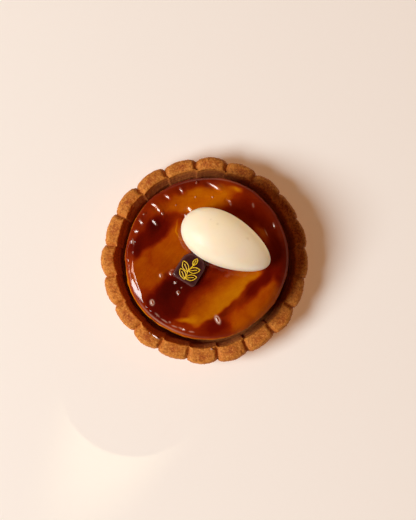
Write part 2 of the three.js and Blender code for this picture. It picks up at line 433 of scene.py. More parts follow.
class Graph:
    """A node tree under construction."""

    def __init__(self, tree: bpy.types.NodeTree) -> None:
        """Wraps a tree."""
        self.tree = tree

    def add(self, kind: str, **settings: object) -> bpy.types.Node:
        """Adds a node and sets its options.

        Args:
            kind: Type name of the node.
            **settings: Options of the node by name.

        Returns:
            The new node.
        """
        node = self.tree.nodes.new(kind)
        for name, value in settings.items():
            setattr(node, name, value)
        return node

    def plug(self, value: Value, socket: bpy.types.NodeSocket) -> None:
        """Feeds a socket.

        Args:
            value: A field or an output socket to link, or a constant to set.
            socket: The input socket.
        """
        source = value.socket if isinstance(value, Field) else value
        if isinstance(source, bpy.types.NodeSocket):
            self.tree.links.new(source, socket)
        else:
            socket.default_value = source

    def fed(
        self, kind: str, inputs: dict[int | str, Value], output: int | str = 0, **settings: object
    ) -> Field:
        """Adds a node and feeds its inputs.

        Args:
            kind: Type name of the node.
            inputs: What each input is fed with, by its index or name.
            output: Index or name of the output that is wanted.
            **settings: Options of the node by name.

        Returns:
            The output.
        """
        node = self.add(kind, **settings)
        for key, value in inputs.items():
            self.plug(value, node.inputs[key])
        return Field(self, node.outputs[output])

    def math(self, operation: str, *values: Value) -> Field:
        """Adds one math node, with its inputs in order."""
        return self.fed("ShaderNodeMath", dict(enumerate(values)), operation=operation)

    def join(self, x: Value, y: Value, z: Value) -> Field:
        """Makes a vector of three values."""
        return self.fed("ShaderNodeCombineXYZ", {0: x, 1: y, 2: z})

    def split(self, vector: Value) -> tuple[Field, Field, Field]:
        """Takes a vector apart into its three values."""
        node = self.fed("ShaderNodeSeparateXYZ", {0: vector}).socket.node
        return tuple(Field(self, socket) for socket in node.outputs[:3])

    def scaled(self, vector: Value, factor: Value) -> Field:
        """Multiplies a vector by a value."""
        return self.fed("ShaderNodeVectorMath", {0: vector, "Scale": factor}, operation="SCALE")

    def mixed(self, share: Value, first: Value, second: Value) -> Field:
        """Blends two colours, with the share of the second."""
        return self.fed("ShaderNodeMix", {0: share, 6: first, 7: second}, 2, data_type="RGBA")

    def noise(
        self, place: Value, size: float, detail: float = 2, warp: float = 0, rough: float = 0.5
    ) -> Field:
        """Cloudy noise about one half.

        Args:
            place: Where it is read, in metres or the unit of the size.
            size: Width of its largest waves.
            detail: Octaves of finer waves.
            warp: How much it is warped by itself.
            rough: Strength of the finer waves.

        Returns:
            The noise value.
        """
        inputs = {
            "Vector": place,
            "Scale": 1 / size,
            "Detail": detail,
            "Distortion": warp,
            "Roughness": rough,
        }
        return self.fed("ShaderNodeTexNoise", inputs)

    def cells(self, place: Value, size: float) -> Field:
        """Distance to the nearest point of a random scatter, in widths of a cell."""
        return self.fed("ShaderNodeTexVoronoi", {"Vector": place, "Scale": 1 / size}, feature="F1")


class ShapeTree(Graph):
    """A Geometry Nodes tree with named inputs for its sizes."""

    def __init__(self, name: str, shape: str = "NodeSocketGeometry") -> None:
        """Starts the tree with a shape coming in and a shape going out.

        Args:
            name: Name of the tree.
            shape: Type of the socket for the shape.
        """
        super().__init__(bpy.data.node_groups.new(name, "GeometryNodeTree"))
        for way in ("INPUT", "OUTPUT"):
            self.tree.interface.new_socket("Shape", in_out=way, socket_type=shape)
        self.start = self.add("NodeGroupInput")
        self.values: dict[str, object] = {}

    @property
    def shape(self) -> bpy.types.NodeSocket:
        """The shape that comes in."""
        return self.start.outputs["Shape"]

    def named(self, name: str, kind: str, value: object) -> Field:
        """Adds a named input.

        Args:
            name: Name of the input.
            kind: Type of its socket.
            value: Value that it is used with.

        Returns:
            What comes in.
        """
        self.tree.interface.new_socket(name, in_out="INPUT", socket_type=kind)
        self.values[name] = value
        return Field(self, self.start.outputs[name])

    def size(self, name: str, value: float | int) -> Field:
        """Adds a named input for a number."""
        return self.named(name, "NodeSocketInt" if isinstance(value, int) else "NodeSocketFloat", value)

    def stored(self, name: str, kind: str = "FLOAT") -> Field:
        """Reads a value that is stored on the shape."""
        return self.fed("GeometryNodeInputNamedAttribute", {"Name": name}, data_type=kind)

    def store(self, shape: Value, name: str, value: Value) -> Field:
        """Stores a value at the points of the shape under a name."""
        inputs = {"Geometry": shape, "Name": name, "Value": value}
        return self.fed("GeometryNodeStoreNamedAttribute", inputs, data_type="FLOAT", domain="POINT")

    def position(self) -> Field:
        """Place of each point."""
        return self.fed("GeometryNodeInputPosition", {})

    def moved(self, shape: Value, socket: str, vector: Value) -> Field:
        """Moves the points of a shape to a Position or by an Offset, as the socket is named."""
        return self.fed("GeometryNodeSetPosition", {"Geometry": shape, socket: vector})

    def finish(self, shape: Value, material: bpy.types.Material) -> None:
        """Ends the tree: instances made real, and the finish set.

        Args:
            shape: The shape, which may hold instances.
            material: Its finish, which gets a named input.
        """
        real = self.fed("GeometryNodeRealizeInstances", {0: shape})
        finish = self.named("Finish", "NodeSocketMaterial", material)
        dressed = self.fed("GeometryNodeSetMaterial", {"Geometry": real, "Material": finish})
        self.plug(dressed, self.add("NodeGroupOutput").inputs["Shape"])

    def made(self, host: bpy.types.Object, name: str) -> bpy.types.Object:
        """Runs the tree on an object and keeps the result as a plain piece.

        Args:
            host: Object that the tree starts from, which is removed.
            name: Name of the finished piece.

        Returns:
            The finished piece at the origin.
        """
        modifier = host.modifiers.new(self.tree.name, "NODES")
        modifier.node_group = self.tree
        for item in self.tree.interface.items_tree:
            if item.in_out == "INPUT" and item.name in self.values:
                modifier[item.identifier] = self.values[item.name]
        depsgraph = bpy.context.evaluated_depsgraph_get()
        mesh = bpy.data.meshes.new_from_object(
            host.evaluated_get(depsgraph), preserve_all_data_layers=True, depsgraph=depsgraph
        )
        mesh.name = name
        host.modifiers.remove(modifier)
        bpy.data.objects.remove(host)
        return placed(name, mesh)


class FinishTree(Graph):
    """The node tree of a material, around one Principled shader."""

    def __init__(self, name: str) -> None:
        """Starts a material with its shader joined to the output.

        Args:
            name: Name of the material.
        """
        self.material = bpy.data.materials.new(name)
        self.material.use_nodes = True
        super().__init__(self.material.node_tree)
        self.shader = self.tree.nodes["Principled BSDF"]
        self.place = self.fed("ShaderNodeTexCoord", {}, "Object")

    def set(self, **values: Value) -> None:
        """Sets inputs of the shader, with an underscore for a space in a name."""
        for name, value in values.items():
            self.plug(value, self.shader.inputs[name.replace("_", " ")])

    def stored(self, name: str, output: str = "Fac") -> Field:
        """Reads a value that is stored on the mesh, or a vector from the output of that name."""
        return self.fed("ShaderNodeAttribute", {}, output, attribute_name=name)



    def ramp(self, value: Field, stops: Sequence[tuple[float, tuple]]) -> Field:
        """Turns a value into a colour along a row of stops.

        Args:
            value: Value between 0 and 1.
            stops: Places and colours.

        Returns:
            The colour.
        """
        colour = self.fed("ShaderNodeValToRGB", {0: value})
        elements = colour.socket.node.color_ramp.elements
        while len(elements) < len(stops):
            elements.new(0.5)
        for element, (place, shade) in zip(elements, stops):
            element.position = place
            element.color = shade
        return colour

    def grain(self, size: float, contrast: float) -> tuple[Field, Field]:
        """Places the shared grain effect.

        Args:
            size: Width of the coarse grain in metres.
            contrast: How hard the grain stands out.

        Returns:
            A mask about one half, and its height for a bump.
        """
        inputs = {"Place": self.place, "Size": size, "Contrast": contrast}
        mask = self.fed("ShaderNodeGroup", inputs, "Mask", node_tree=grain_group())
        return mask, Field(self, mask.socket.node.outputs["Height"])

    def bump(self, height: Field, distance: float) -> None:
        """Gives the surface a fine relief, so many metres deep."""
        self.set(Normal=self.fed("ShaderNodeBump", {"Distance": distance, "Height": height}))


def grain_group() -> bpy.types.NodeTree:
    """The shared grain effect: coarse and fine specks of one size and contrast.

    Returns:
        The node group, made once.
    """
    name = "fine_grain"
    if name in bpy.data.node_groups:
        return bpy.data.node_groups[name]
    tree = bpy.data.node_groups.new(name, "ShaderNodeTree")
    for label, way, kind in (
        ("Place", "INPUT", "Vector"),
        ("Size", "INPUT", "Float"),
        ("Contrast", "INPUT", "Float"),
        ("Mask", "OUTPUT", "Float"),
        ("Height", "OUTPUT", "Float"),
    ):
        tree.interface.new_socket(label, in_out=way, socket_type=f"NodeSocket{kind}")
    graph = Graph(tree)
    start, end = graph.add("NodeGroupInput"), graph.add("NodeGroupOutput")
    local = graph.scaled(start.outputs["Place"], graph.math("DIVIDE", 1, start.outputs["Size"]))
    coarse = graph.noise(local, 1, detail=3, rough=0.65)
    fine = graph.noise(local, 0.31, detail=2, rough=0.6)
    both = coarse * 0.6 + fine * 0.4
    mask = ((both - 0.5) * start.outputs["Contrast"] + 0.5).clamped()
    graph.plug(mask, end.inputs["Mask"])
    graph.plug(both, end.inputs["Height"])
    return tree


# ---- Finishes --------------------------------------------------------------------------------


@dataclass(frozen=True)
class CrustFinish:
    """Baked shortcrust: sandy, golden at the lobes' edges, redder in their middles, with painted shade in the
    creases.
    """

    edge: tuple = reflectance(216, 120, 36)
    middle: tuple = reflectance(194, 86, 15)
    # Redder brown of the bruised lobe middles, also laid in the creases as painted shade.
    bruise_and_crease_shade: tuple = reflectance(166, 64, 12)
    inside: tuple = reflectance(178, 90, 40)
    streak: tuple = reflectance(132, 52, 18)
    speck: tuple = reflectance(104, 36, 6)
    crumb: tuple = reflectance(240, 154, 66)
    grain_size: float = 0.85 * MM
    grain_contrast: float = 4.4
    patch_size: float = 5 * MM
    streak_depth: float = 0.8 * MM
    roughness: float = 0.72
    sheen: float = 0.25
    relief: float = 0.2 * MM
    redness_from_lobe: float = 0.75
    redness_from_patch: float = 1.6
    sore_share: float = 0.6
    streak_share: float = 0.6
    inside_share: float = 0.9
    crumb_share: float = 0.7
    speck_share: float = 0.6
    # Share of painted shade laid in the creases.
    crease_share: float = 0.5

    def build(self) -> bpy.types.Material:
        """Makes the material.

        Returns:
            The material.
        """
        tree = FinishTree("baked_shortcrust")
        mask, height = tree.grain(self.grain_size, self.grain_contrast)
        clouds = tree.noise(tree.place, self.patch_size, detail=3, rough=0.6)
        east, north, up = tree.split(tree.place)
        round_wall = tree.join(tree.math("ARCTAN2", east, north) * 3, up / self.streak_depth, 0)
        streaks = tree.noise(round_wall, 1, detail=3, rough=0.6).smooth(0.42, 0.62)
        fullness = tree.stored("fullness")
        redness = fullness**1.6 * self.redness_from_lobe + (clouds - 0.5) * self.redness_from_patch
        redness = redness.clamped()
        dough = tree.mixed(redness, self.edge, self.middle)
        sore = (fullness.smooth(0.6, 1.0) * clouds.smooth(0.48, 0.62)).clamped()
        dough = tree.mixed(sore * self.sore_share, dough, self.bruise_and_crease_shade)
        wall = tree.mixed(streaks * self.streak_share, self.inside, self.streak)
        dough = tree.mixed(tree.stored("inside") * self.inside_share, dough, wall)
        sandy = 1 - tree.stored("inside") * 0.75
        pale, dark = mask.smooth(0.55, 1.0), (1 - mask).smooth(0.55, 1.0)
        dough = tree.mixed(pale * self.crumb_share * sandy, dough, self.crumb)
        dough = tree.mixed(dark * self.speck_share * sandy, dough, self.speck)
        # Painted shade: the creases are darkened towards the bruised brown.
        dough = tree.mixed(tree.stored("crease") * self.crease_share, dough, self.bruise_and_crease_shade)
        tree.set(Base_Color=dough, Roughness=self.roughness, Specular_IOR_Level=self.sheen)
        tree.bump(height, self.relief)
        return tree.material


@dataclass(frozen=True)
class CaramelFinish:
    """Caramelised apple under clear glaze, from near black to clear amber, with a pale painted reflection
    line, painted glints and some foam laid over it.
    """

    shades: tuple = (
        (0.0, reflectance(64, 7, 3)),
        (0.22, reflectance(104, 13, 2)),
        (0.42, reflectance(150, 41, 3)),
        (0.66, reflectance(190, 84, 3)),
        (0.88, reflectance(214, 119, 5)),
        (1.0, reflectance(226, 138, 10)),
    )
    # Pale pink of the painted reflection line on the lip and of the painted glints, and of foam.
    haze: tuple = reflectance(222, 160, 128)
    fibre_length: float = 8.0
    fibre_width: float = 1.1
    cloud_size: float = 6 * MM
    grain_size: float = 0.7 * MM
    fibre_drift: float = 0.13
    cloud_drift: float = 0.26
    grain_drift: float = 0.06
    flesh_roughness: float = 0.42
    glaze_roughness: float = 0.03
    glaze_ior: float = 1.46

    def build(self) -> bpy.types.Material:
        """Makes the material.

        Returns:
            The material.
        """
        tree = FinishTree("glazed_caramel_apple")
        along, across, layer = tree.split(tree.stored("fibre", "Vector"))
        fibre_place = tree.join(along / self.fibre_length, across / self.fibre_width, layer)
        fibres = tree.noise(fibre_place, 1, detail=4, rough=0.6, warp=0.3)
        clouds = tree.noise(tree.place, self.cloud_size, detail=4, rough=0.55, warp=0.4)
        mask, _ = tree.grain(self.grain_size, 2.0)
        clarity = tree.stored("clarity")
        liveliness = clarity.smooth(0.05, 0.6, 0.35, 1.0)
        drift = (fibres - 0.5) * self.fibre_drift + (clouds - 0.5) * self.cloud_drift
        drift = drift + (mask - 0.5) * self.grain_drift
        colour = tree.ramp((clarity + drift * liveliness).clamped(), self.shades)
        # The pale colour laid over the caramel is painted reflection and glint, with some foam.
        tree.set(
            Base_Color=tree.mixed(tree.stored("haze"), colour, self.haze),
            Roughness=self.flesh_roughness,
            Specular_IOR_Level=0.0,
            Coat_Weight=tree.stored("glaze"),
            Coat_Roughness=self.glaze_roughness,
            Coat_IOR=self.glaze_ior,
        )
        return tree.material


@dataclass(frozen=True)
class CreamFinish:
    """Smooth ivory cream with a satin sheen and painted shade in its pits."""

    colour: tuple = (0.97, 0.79, 0.62, 1.0)
    # Darker ivory for the random cloudiness, also laid in the pits as painted shade.
    shade: tuple = (0.75, 0.58, 0.42, 1.0)
    scatter: tuple = (1.0, 0.75, 0.5)
    depth: float = 5 * MM
    roughness: float = 0.42
    sheen: float = 0.4
    grain_size: float = 0.5 * MM
    cloud_size: float = 9 * MM
    drift: float = 0.12
    # Share of painted shade laid in the pits.
    pit_painted_shade: float = 0.6
    relief: float = 0.02 * MM

    def build(self) -> bpy.types.Material:
        """Makes the material.

        Returns:
            The material.
        """
        tree = FinishTree("ivory_cream")
        mask, height = tree.grain(self.grain_size, 1.6)
        clouds = tree.noise(tree.place, self.cloud_size, detail=2)
        colour = tree.mixed((mask * self.drift + clouds * self.drift), self.colour, self.shade)
        # The pits get painted shade over their dimples.
        tree.set(
            Base_Color=tree.mixed(tree.stored("pit") * self.pit_painted_shade, colour, self.shade),
            Roughness=self.roughness,
            Specular_IOR_Level=self.sheen,
            Subsurface_Weight=1.0,
            Subsurface_Radius=self.scatter,
            Subsurface_Scale=self.depth,
        )
        tree.bump(height, self.relief)
        return tree.material


@dataclass(frozen=True)
class ChocolateFinish:
    """Dark chocolate, satin, lighter on its softened edges, partly bloom and partly painted sheen."""

    colour: tuple = reflectance(60, 22, 20)
    # Lighter colour of the softened edges: partly bloom, partly painted sheen.
    bloom_and_sheen: tuple = reflectance(122, 66, 56)
    roughness: float = 0.22
    sheen: float = 0.35
    grain_size: float = 0.35 * MM
    # How much the rolled edges are lightened, by bloom and by painted sheen.
    sheen_and_bloom_on_edge: float = 0.5
    bloom_in_grain: float = 0.3
    relief: float = 0.02 * MM

    def build(self) -> bpy.types.Material:
        """Makes the material.

        Returns:
            The material.
        """
        tree = FinishTree("dark_chocolate")
        mask, height = tree.grain(self.grain_size, 2.4)
        # The rolled edges are lightened by bloom and painted sheen, the grain by bloom alone.
        bloom_and_sheen = tree.stored("edge") * self.sheen_and_bloom_on_edge + (mask - 0.5) * self.bloom_in_grain
        colour = tree.mixed(bloom_and_sheen.clamped(), self.colour, self.bloom_and_sheen)
        tree.set(Base_Color=colour, Roughness=self.roughness, Specular_IOR_Level=self.sheen)
        tree.bump(height, self.relief)
        return tree.material


@dataclass(frozen=True)
class PrintFinish:
    """Yellow-gold cocoa butter print."""

    colour: tuple = reflectance(255, 200, 26)
    worn: tuple = reflectance(238, 168, 28)
    roughness: float = 0.4
    grain_size: float = 0.3 * MM

    def build(self) -> bpy.types.Material:
        """Makes the material.

        Returns:
            The material.
        """
        tree = FinishTree("gold_print")
        mask, _ = tree.grain(self.grain_size, 3.0)
        colour = tree.mixed(mask.smooth(0.35, 0.8), self.colour, self.worn)
        tree.set(Base_Color=colour, Roughness=self.roughness)
        return tree.material


@dataclass(frozen=True)
class GlazeFinish:
    """Clear neutral glaze in beads and bubbles."""

    colour: tuple = reflectance(120, 32, 3)
    clear: tuple = reflectance(168, 72, 14)
    roughness: float = 0.3
    gloss: float = 0.02
    cloud_size: float = 1.5 * MM

    def build(self) -> bpy.types.Material:
        """Makes the material.

        Returns:
            The material.
        """
        tree = FinishTree("clear_glaze")
        clouds = tree.noise(tree.place, self.cloud_size, detail=2)
        colour = tree.mixed(clouds, self.colour, self.clear)
        tree.set(Base_Color=colour, Roughness=self.roughness, Coat_Weight=1.0, Coat_Roughness=self.gloss)
        return tree.material


@dataclass(frozen=True)
class FloorFinish:
    """Plain pale paper that lets a little warm light through."""

    colour: tuple = (0.8, 0.8, 0.8, 1.0)
    fleck: tuple = (0.79, 0.789, 0.787, 1.0)
    glow: tuple = (1.0, 0.53, 0.26, 1.0)
    glow_strength: float = 0.24
    roughness: float = 0.95
    fleck_size: float = 3 * MM

    def build(self) -> bpy.types.Material:
        """Makes the material.

        Returns:
            The material.
        """
        tree = FinishTree("pale_floor")
        mask, _ = tree.grain(self.fleck_size, 1.5)
        tree.set(
            Base_Color=tree.mixed(mask, self.colour, self.fleck),
            Roughness=self.roughness,
            Specular_IOR_Level=0.0,
            Emission_Color=self.glow,
            Emission_Strength=self.glow_strength,
        )
        return tree.material


# ---- Drops of glaze --------------------------------------------------------------------------


@dataclass(frozen=True)
class Wrinkle(Mark):
    """A wrinkle or bubble of the glaze where it catches the light, with pale foam and painted glint laid over
    it.
    """

    foam_and_shine: float = 0.0
    slope: float = 0.46


@dataclass(frozen=True)
class Lens:
    """A drop of glaze as a flattened ball: place in mm, turn in radians, half sizes in mm."""

    place: tuple[float, float, float]
    turn: tuple[float, float, float]
    girth: tuple[float, float, float]


def lens_piece(name: str, lenses: Sequence[Lens], material: bpy.types.Material) -> bpy.types.Object:
    """Sets flattened drops at their places.

    Args:
        name: Name of the piece.
        lenses: The drops.
        material: Their finish.

    Returns:
        The drops as one piece.
    """
    points = np.array([lens.place for lens in lenses]) * MM
    fields = {
        "girth": np.array([lens.girth for lens in lenses]) * MM,
        "turn": np.array([lens.turn for lens in lenses]),
    }
    host = placed(f"{name}_host", smooth_mesh(f"{name}_host", points, [], fields))
    tree = ShapeTree(f"{name}_drops")
    ball = tree.fed("GeometryNodeMeshIcoSphere", {"Radius": 1.0, "Subdivisions": 4})
    inputs = {
        "Points": tree.shape,
        "Instance": tree.fed("GeometryNodeSetShadeSmooth", {"Geometry": ball}),
        "Rotation": tree.stored("turn", "FLOAT_VECTOR"),
        "Scale": tree.stored("girth", "FLOAT_VECTOR"),
    }
    tree.finish(tree.fed("GeometryNodeInstanceOnPoints", inputs), material)
    return tree.made(host, name)


# ---- Crust -----------------------------------------------------------------------------------


@dataclass
class Crust:
    """The fluted shell, with sandy crumbs and a little spilt glaze on its rim."""

    radius: float = 40
    height: float = 13
    base_radius: float = 34.6
    foot_round: float = 1.6
    widest_height: float = 8.5
    shoulder_fullness: float = 0.92
    crest_radius: float = 36.1
    mouth_radius: float = 34.9
    mouth_height: float = 12.3
    knee_radius: float = 32.6
    knee_height: float = 8.5
    floor_radius: float = 32
    floor_height: float = 3.5
    corner_round: float = 1
    flute_count: int = 20
    flute_depth: float = 0.9
    flute_depth_at_base: float = 0.7
    flute_depth_inside: float = 0.2
    flute_top_drop: float = 0.3
    crease_width: float = 1.6
    crease_depth: float = 0.5
    crease_top_drop: float = 1.4
    crease_hollow: float = 1.25
    crease_share_inside: float = 0.1
    front_thickening: Stretch = Stretch(165, 42, 1.15)
    first_crease: float = 10.35
    faint_loss: float = 0.5
    faint_bearing: float = 72
    faint_spread: float = 40
    overlap: float = 0.55
    crown_radius: float = 37.2
    crown_spread: float = 2.2
    swell: float = 0.3
    swell_turn: float = 2.4
    rise: float = 0.3
    rise_turn: float = 4.1
    drifts: tuple[Wave, ...] = (Wave(1, 1.37, 42), Wave(2, 1.12, 9))
    steps: int = 720
    inside_fall: float = 1.3
    crumb_size: float = 0.8
    crumb_height: float = 0.46
    lump_size: float = 3.2
    lump_height: float = 0.36
    pit_size: float = 1.7
    pit_reach: float = 0.28
    pit_depth: float = 0.16
    rough_from: tuple[float, float] = (0.1, 1.2)
    grain_radius: tuple[float, float] = (0.09, 0.2)
    grains_per_square_mm: float = 0.9
    grains_from: tuple[float, float] = (1.5, 4)
    grain_seed: int = 5
    clump_size: float = 4
    clump_edge: tuple[float, float] = (0.4, 0.62)
    clump_least: float = 0.25
    spill: tuple[Wrinkle, ...] = (
        Wrinkle(-19.4, -29.6, -28, 3.4, 0.9),
        Wrinkle(-18.2, -30.2, -25, 1.6, 1.1),
        Wrinkle(-21.3, -28.3, 0, 0.6, 0.5),
        Wrinkle(2.4, -34.4, -20, 1.0, 0.7),
    )
    spill_lift: float = 0.18
    spill_thickness: float = 0.17
    spill_search: float = 0.5
    light_bearing: float = 250
    finish: CrustFinish = field(default_factory=CrustFinish)
    glaze: GlazeFinish = field(default_factory=GlazeFinish)

    def section(self) -> np.ndarray:
        """Section from the middle of the underside, over the rim, to the middle of the floor.

        Returns:
            Rows of radius and height.
        """
        foot = self.base_radius + self.foot_round
        lean = self.radius - foot
        hip = (foot + lean / 4, self.foot_round)
        widest = (self.radius, self.widest_height)
        crest = (self.crest_radius, self.height)
        mouth = (self.mouth_radius, self.mouth_height)
        knee = (self.knee_radius, self.knee_height)
        floor = (self.floor_radius, self.floor_height + self.corner_round)
        corner = (self.floor_radius - self.corner_round, self.floor_height)
        fullness = self.shoulder_fullness
        bulge_height = self.widest_height + fullness * (self.height - self.widest_height)
        bulge_radius = self.crest_radius + fullness * (self.radius - self.crest_radius)
        pieces = [
            ([(0, 0), (self.base_radius, 0)], 10),
            ([(self.base_radius, 0), (foot, 0), hip], 4),
            ([hip, (self.radius, self.widest_height / 2), widest], 9),
            ([widest, (self.radius, bulge_height), (bulge_radius, self.height), crest], 14),
            ([crest, (self.mouth_radius, self.height), mouth], 6),
            ([mouth, knee], 7),
            ([knee, floor], 5),
            ([floor, corner], 3),
            ([corner, (0, self.floor_height)], 9),
        ]
        return np.vstack([[(0.0, 0.0)], *(bezier(points, steps) for points, steps in pieces)])

    def blank(self) -> bpy.types.Object:
        """The shell before its flutes are pressed, with what the press needs at each point.

        Returns:
            The blank object.
        """
        section = self.section()
        radius, height = section.T
        outside = np.arange(len(section)) <= int(np.argmax(height))
        lift = smoothstep(height, self.widest_height, self.height)
        inner = self.flute_depth_inside * smoothstep(height, self.floor_height, self.mouth_height)
        growth = self.flute_depth - self.flute_depth_at_base
        outer = self.flute_depth_at_base + growth * smoothstep(height, 0, self.widest_height)
        over = smoothstep(height, self.mouth_height, self.height)
        outer = outer + ((outer + inner) / 2 - outer) * over
        grid = Grid.lathe(section, self.steps)
        wall = smoothstep(height, self.floor_height + self.corner_round, self.mouth_height)
        self._thicken(grid, grid.per_ring(np.where(outside, 0, wall)))
        past_crest = smoothstep(self.crest_radius - radius, 0, self.crest_radius - self.mouth_radius)
        fading = np.where(outside, 1.0, 1 - (1 - self.crease_share_inside) * past_crest)
        below_rim = smoothstep(-height, -self.height, self.inside_fall - self.mouth_height)
        fields = {
            "bite": np.where(outside, outer, inner) * MM,
            "crease_share": np.where(outside, 1.0, lift * fading),
            "lift": lift * fading,
            "swell_share": smoothstep(height, 0, self.widest_height),
            "inside": np.where(outside, 0.0, below_rim),
            "crown": bell((radius - self.crown_radius) / self.crown_spread),
        }
        spread = {name: grid.per_ring(values) for name, values in fields.items()}
        return placed("crust_blank", grid.mesh("crust_blank", spread))

    def _thicken(self, grid: Grid, share: np.ndarray) -> None:
        """Brings the inner edge of the rim further in at the front.

        Args:
            grid: Surface that is moved.
            share: How far each of its points goes along, from 0 to 1.
        """
        x, y, _ = grid.points.T
        closing = self.front_thickening.at(np.arctan2(x, y)) * share / np.maximum(np.hypot(x, y), 1)
        grid.points[:, :2] *= (1 - closing)[:, None]

    def press(self, material: bpy.types.Material) -> ShapeTree:
        """Builds the tree that presses the flutes and roughens the dough.

        Args:
            material: Finish of the shell.

        Returns:
            The tree.
        """
        tree = ShapeTree("pressed_flutes")
        count = tree.size("Flute count", float(self.flute_count))
        first = tree.size("First crease bearing", math.radians(self.first_crease))
        x, y, z = tree.split(tree.position())
        radius = (x * x + y * y).math("SQRT")
        bearing = tree.math("ARCTAN2", x, y)
        place = ((bearing - first) / TURN).math("FRACT") * count
        flute = place.math("FLOOR")
        across = place - flute
        fullness = (across * math.pi).math("SINE")
        pressed = 1 - tree.size("Faint loss", self.faint_loss) * self._hump(tree, bearing)
        scallop = (1 - fullness) * pressed
        gap = across.math("MINIMUM", 1 - across) * (TURN * self.radius) / count
        crease = (1 - gap / tree.size("Crease width", self.crease_width)).clamped() ** self.crease_hollow
        crease = crease * pressed
        swell = self._own(tree, flute, fullness, "Flute swell", self.swell, self.swell_turn)
        rise = self._own(tree, flute, fullness, "Flute rise", self.rise, self.rise_turn)
        drift = sum(
            (bearing * wave.waves - math.radians(wave.phase)).math("COSINE") * math.radians(wave.size)
            for wave in self.drifts
        )
        slip = (across - 0.5) * tree.size("Overlap", self.overlap * MM)
        bite = tree.stored("bite") * scallop
        bite = bite + tree.size("Crease depth", self.crease_depth * MM) * crease * tree.stored("crease_share")
        change = (swell + slip) * tree.stored("swell_share") - bite
        new_radius = radius + change * (radius / (2 * MM)).math("MINIMUM", 1)
        drop = tree.size("Top drop", self.flute_top_drop * MM) * scallop
        drop = drop + tree.size("Crease drop", self.crease_top_drop * MM) * crease - rise
        new_bearing = bearing + drift
        target = tree.join(
            new_radius * new_bearing.math("SINE"),
            new_radius * new_bearing.math("COSINE"),
            z - drop * tree.stored("lift"),
        )
        shape = tree.store(tree.shape, "fullness", fullness * tree.stored("crown"))
        # Stored for the finish, which lays painted shade in the creases.
        shape = tree.store(shape, "crease", crease * tree.stored("crease_share"))
        shape = tree.moved(shape, "Position", target)
        tree.finish(self._roughened(tree, shape), material)
        return tree

    def _hump(self, tree: ShapeTree, bearing: Field) -> Field:
        """How faint the flutes are at a bearing, up to 1 in the middle of the faint side.

        Args:
            tree: Tree that is built.
            bearing: Bearing of each point.

        Returns:
            The faintness.
        """
        gap = bearing - tree.size("Faint bearing", math.radians(self.faint_bearing))
        gap = tree.math("ARCTAN2", gap.math("SINE"), gap.math("COSINE")) / math.radians(self.faint_spread)
        return (-(gap * gap)).math("EXPONENT")

    def _own(
        self, tree: ShapeTree, flute: Field, fullness: Field, name: str, size: float, turn: float
    ) -> Field:
        """One flute's own swell or rise, in metres."""
        return tree.size(name, size * MM) * (flute * turn).math("SINE") * fullness * fullness

    def _roughened(self, tree: ShapeTree, shape: Value) -> Field:
        """Moves the surface in and out along its normals, as sandy crumb does.

        Args:
            tree: Tree that is built.
            shape: The smooth shell.

        Returns:
            The rough shell.
        """
        place = tree.position()
        normal = tree.fed("GeometryNodeInputNormal", {})
        crumb = (tree.noise(place, self.crumb_size * MM, detail=2, rough=0.6) - 0.5) * self.crumb_height
        lump = (tree.noise(place, self.lump_size * MM, detail=1) - 0.5) * self.lump_height
        pit = tree.cells(place, self.pit_size * MM).smooth(0.0, self.pit_reach, -self.pit_depth, 0.0)
        amount = (crumb + lump + pit) * self._above(tree, place, self.rough_from) * MM
        return tree.moved(shape, "Offset", tree.scaled(normal, amount))

    def _above(self, tree: ShapeTree, place: Field, heights: tuple[float, float]) -> Field:
        """Rises from 0 at the lower of two heights in mm to 1 at the upper."""
        _, _, z = tree.split(place)
        return z.smooth(*(height * MM for height in heights))

    def grains(self, shell: bpy.types.Object, material: bpy.types.Material) -> bpy.types.Object:
        """Scatters loose sandy grains over the outside and the rim.

        Args:
            shell: The finished shell.
            material: Finish of the grains.

        Returns:
            The grains as one piece.
        """
        tree = ShapeTree("sandy_grains")
        place = tree.position()
        clumps = tree.noise(place, self.clump_size * MM, detail=2)
        clumps = clumps.smooth(*self.clump_edge, self.clump_least, 1.0)
        bare = (1 - tree.stored("inside")) * self._above(tree, place, self.grains_from)
        density = tree.size("Grains a square metre", self.grains_per_square_mm / MM**2)
        seed = tree.size("Seed", self.grain_seed)
        inputs = {"Mesh": tree.shape, "Density": density * clumps * bare, "Seed": seed}
        points = tree.fed("GeometryNodeDistributePointsOnFaces", inputs, "Points", distribute_method="RANDOM")
        sizes = tree.add("FunctionNodeRandomValue", data_type="FLOAT")
        for name, radius in zip(("Min", "Max"), self.grain_radius):
            next(s for s in sizes.inputs if s.name == name and s.type == "VALUE").default_value = radius * MM
        turns = tree.add("FunctionNodeRandomValue", data_type="FLOAT_VECTOR")
        next(s for s in turns.inputs if s.name == "Max" and s.type == "VECTOR").default_value = (TURN,) * 3
        inputs = {
            "Points": points,
            "Instance": tree.fed("GeometryNodeMeshIcoSphere", {"Radius": 1.0, "Subdivisions": 1}),
            "Rotation": turns.outputs[0],
            "Scale": next(s for s in sizes.outputs if s.type == "VALUE"),
        }
        tree.finish(tree.fed("GeometryNodeInstanceOnPoints", inputs), material)
        return tree.made(placed("grain_host", shell.data.copy()), "crust_grains")

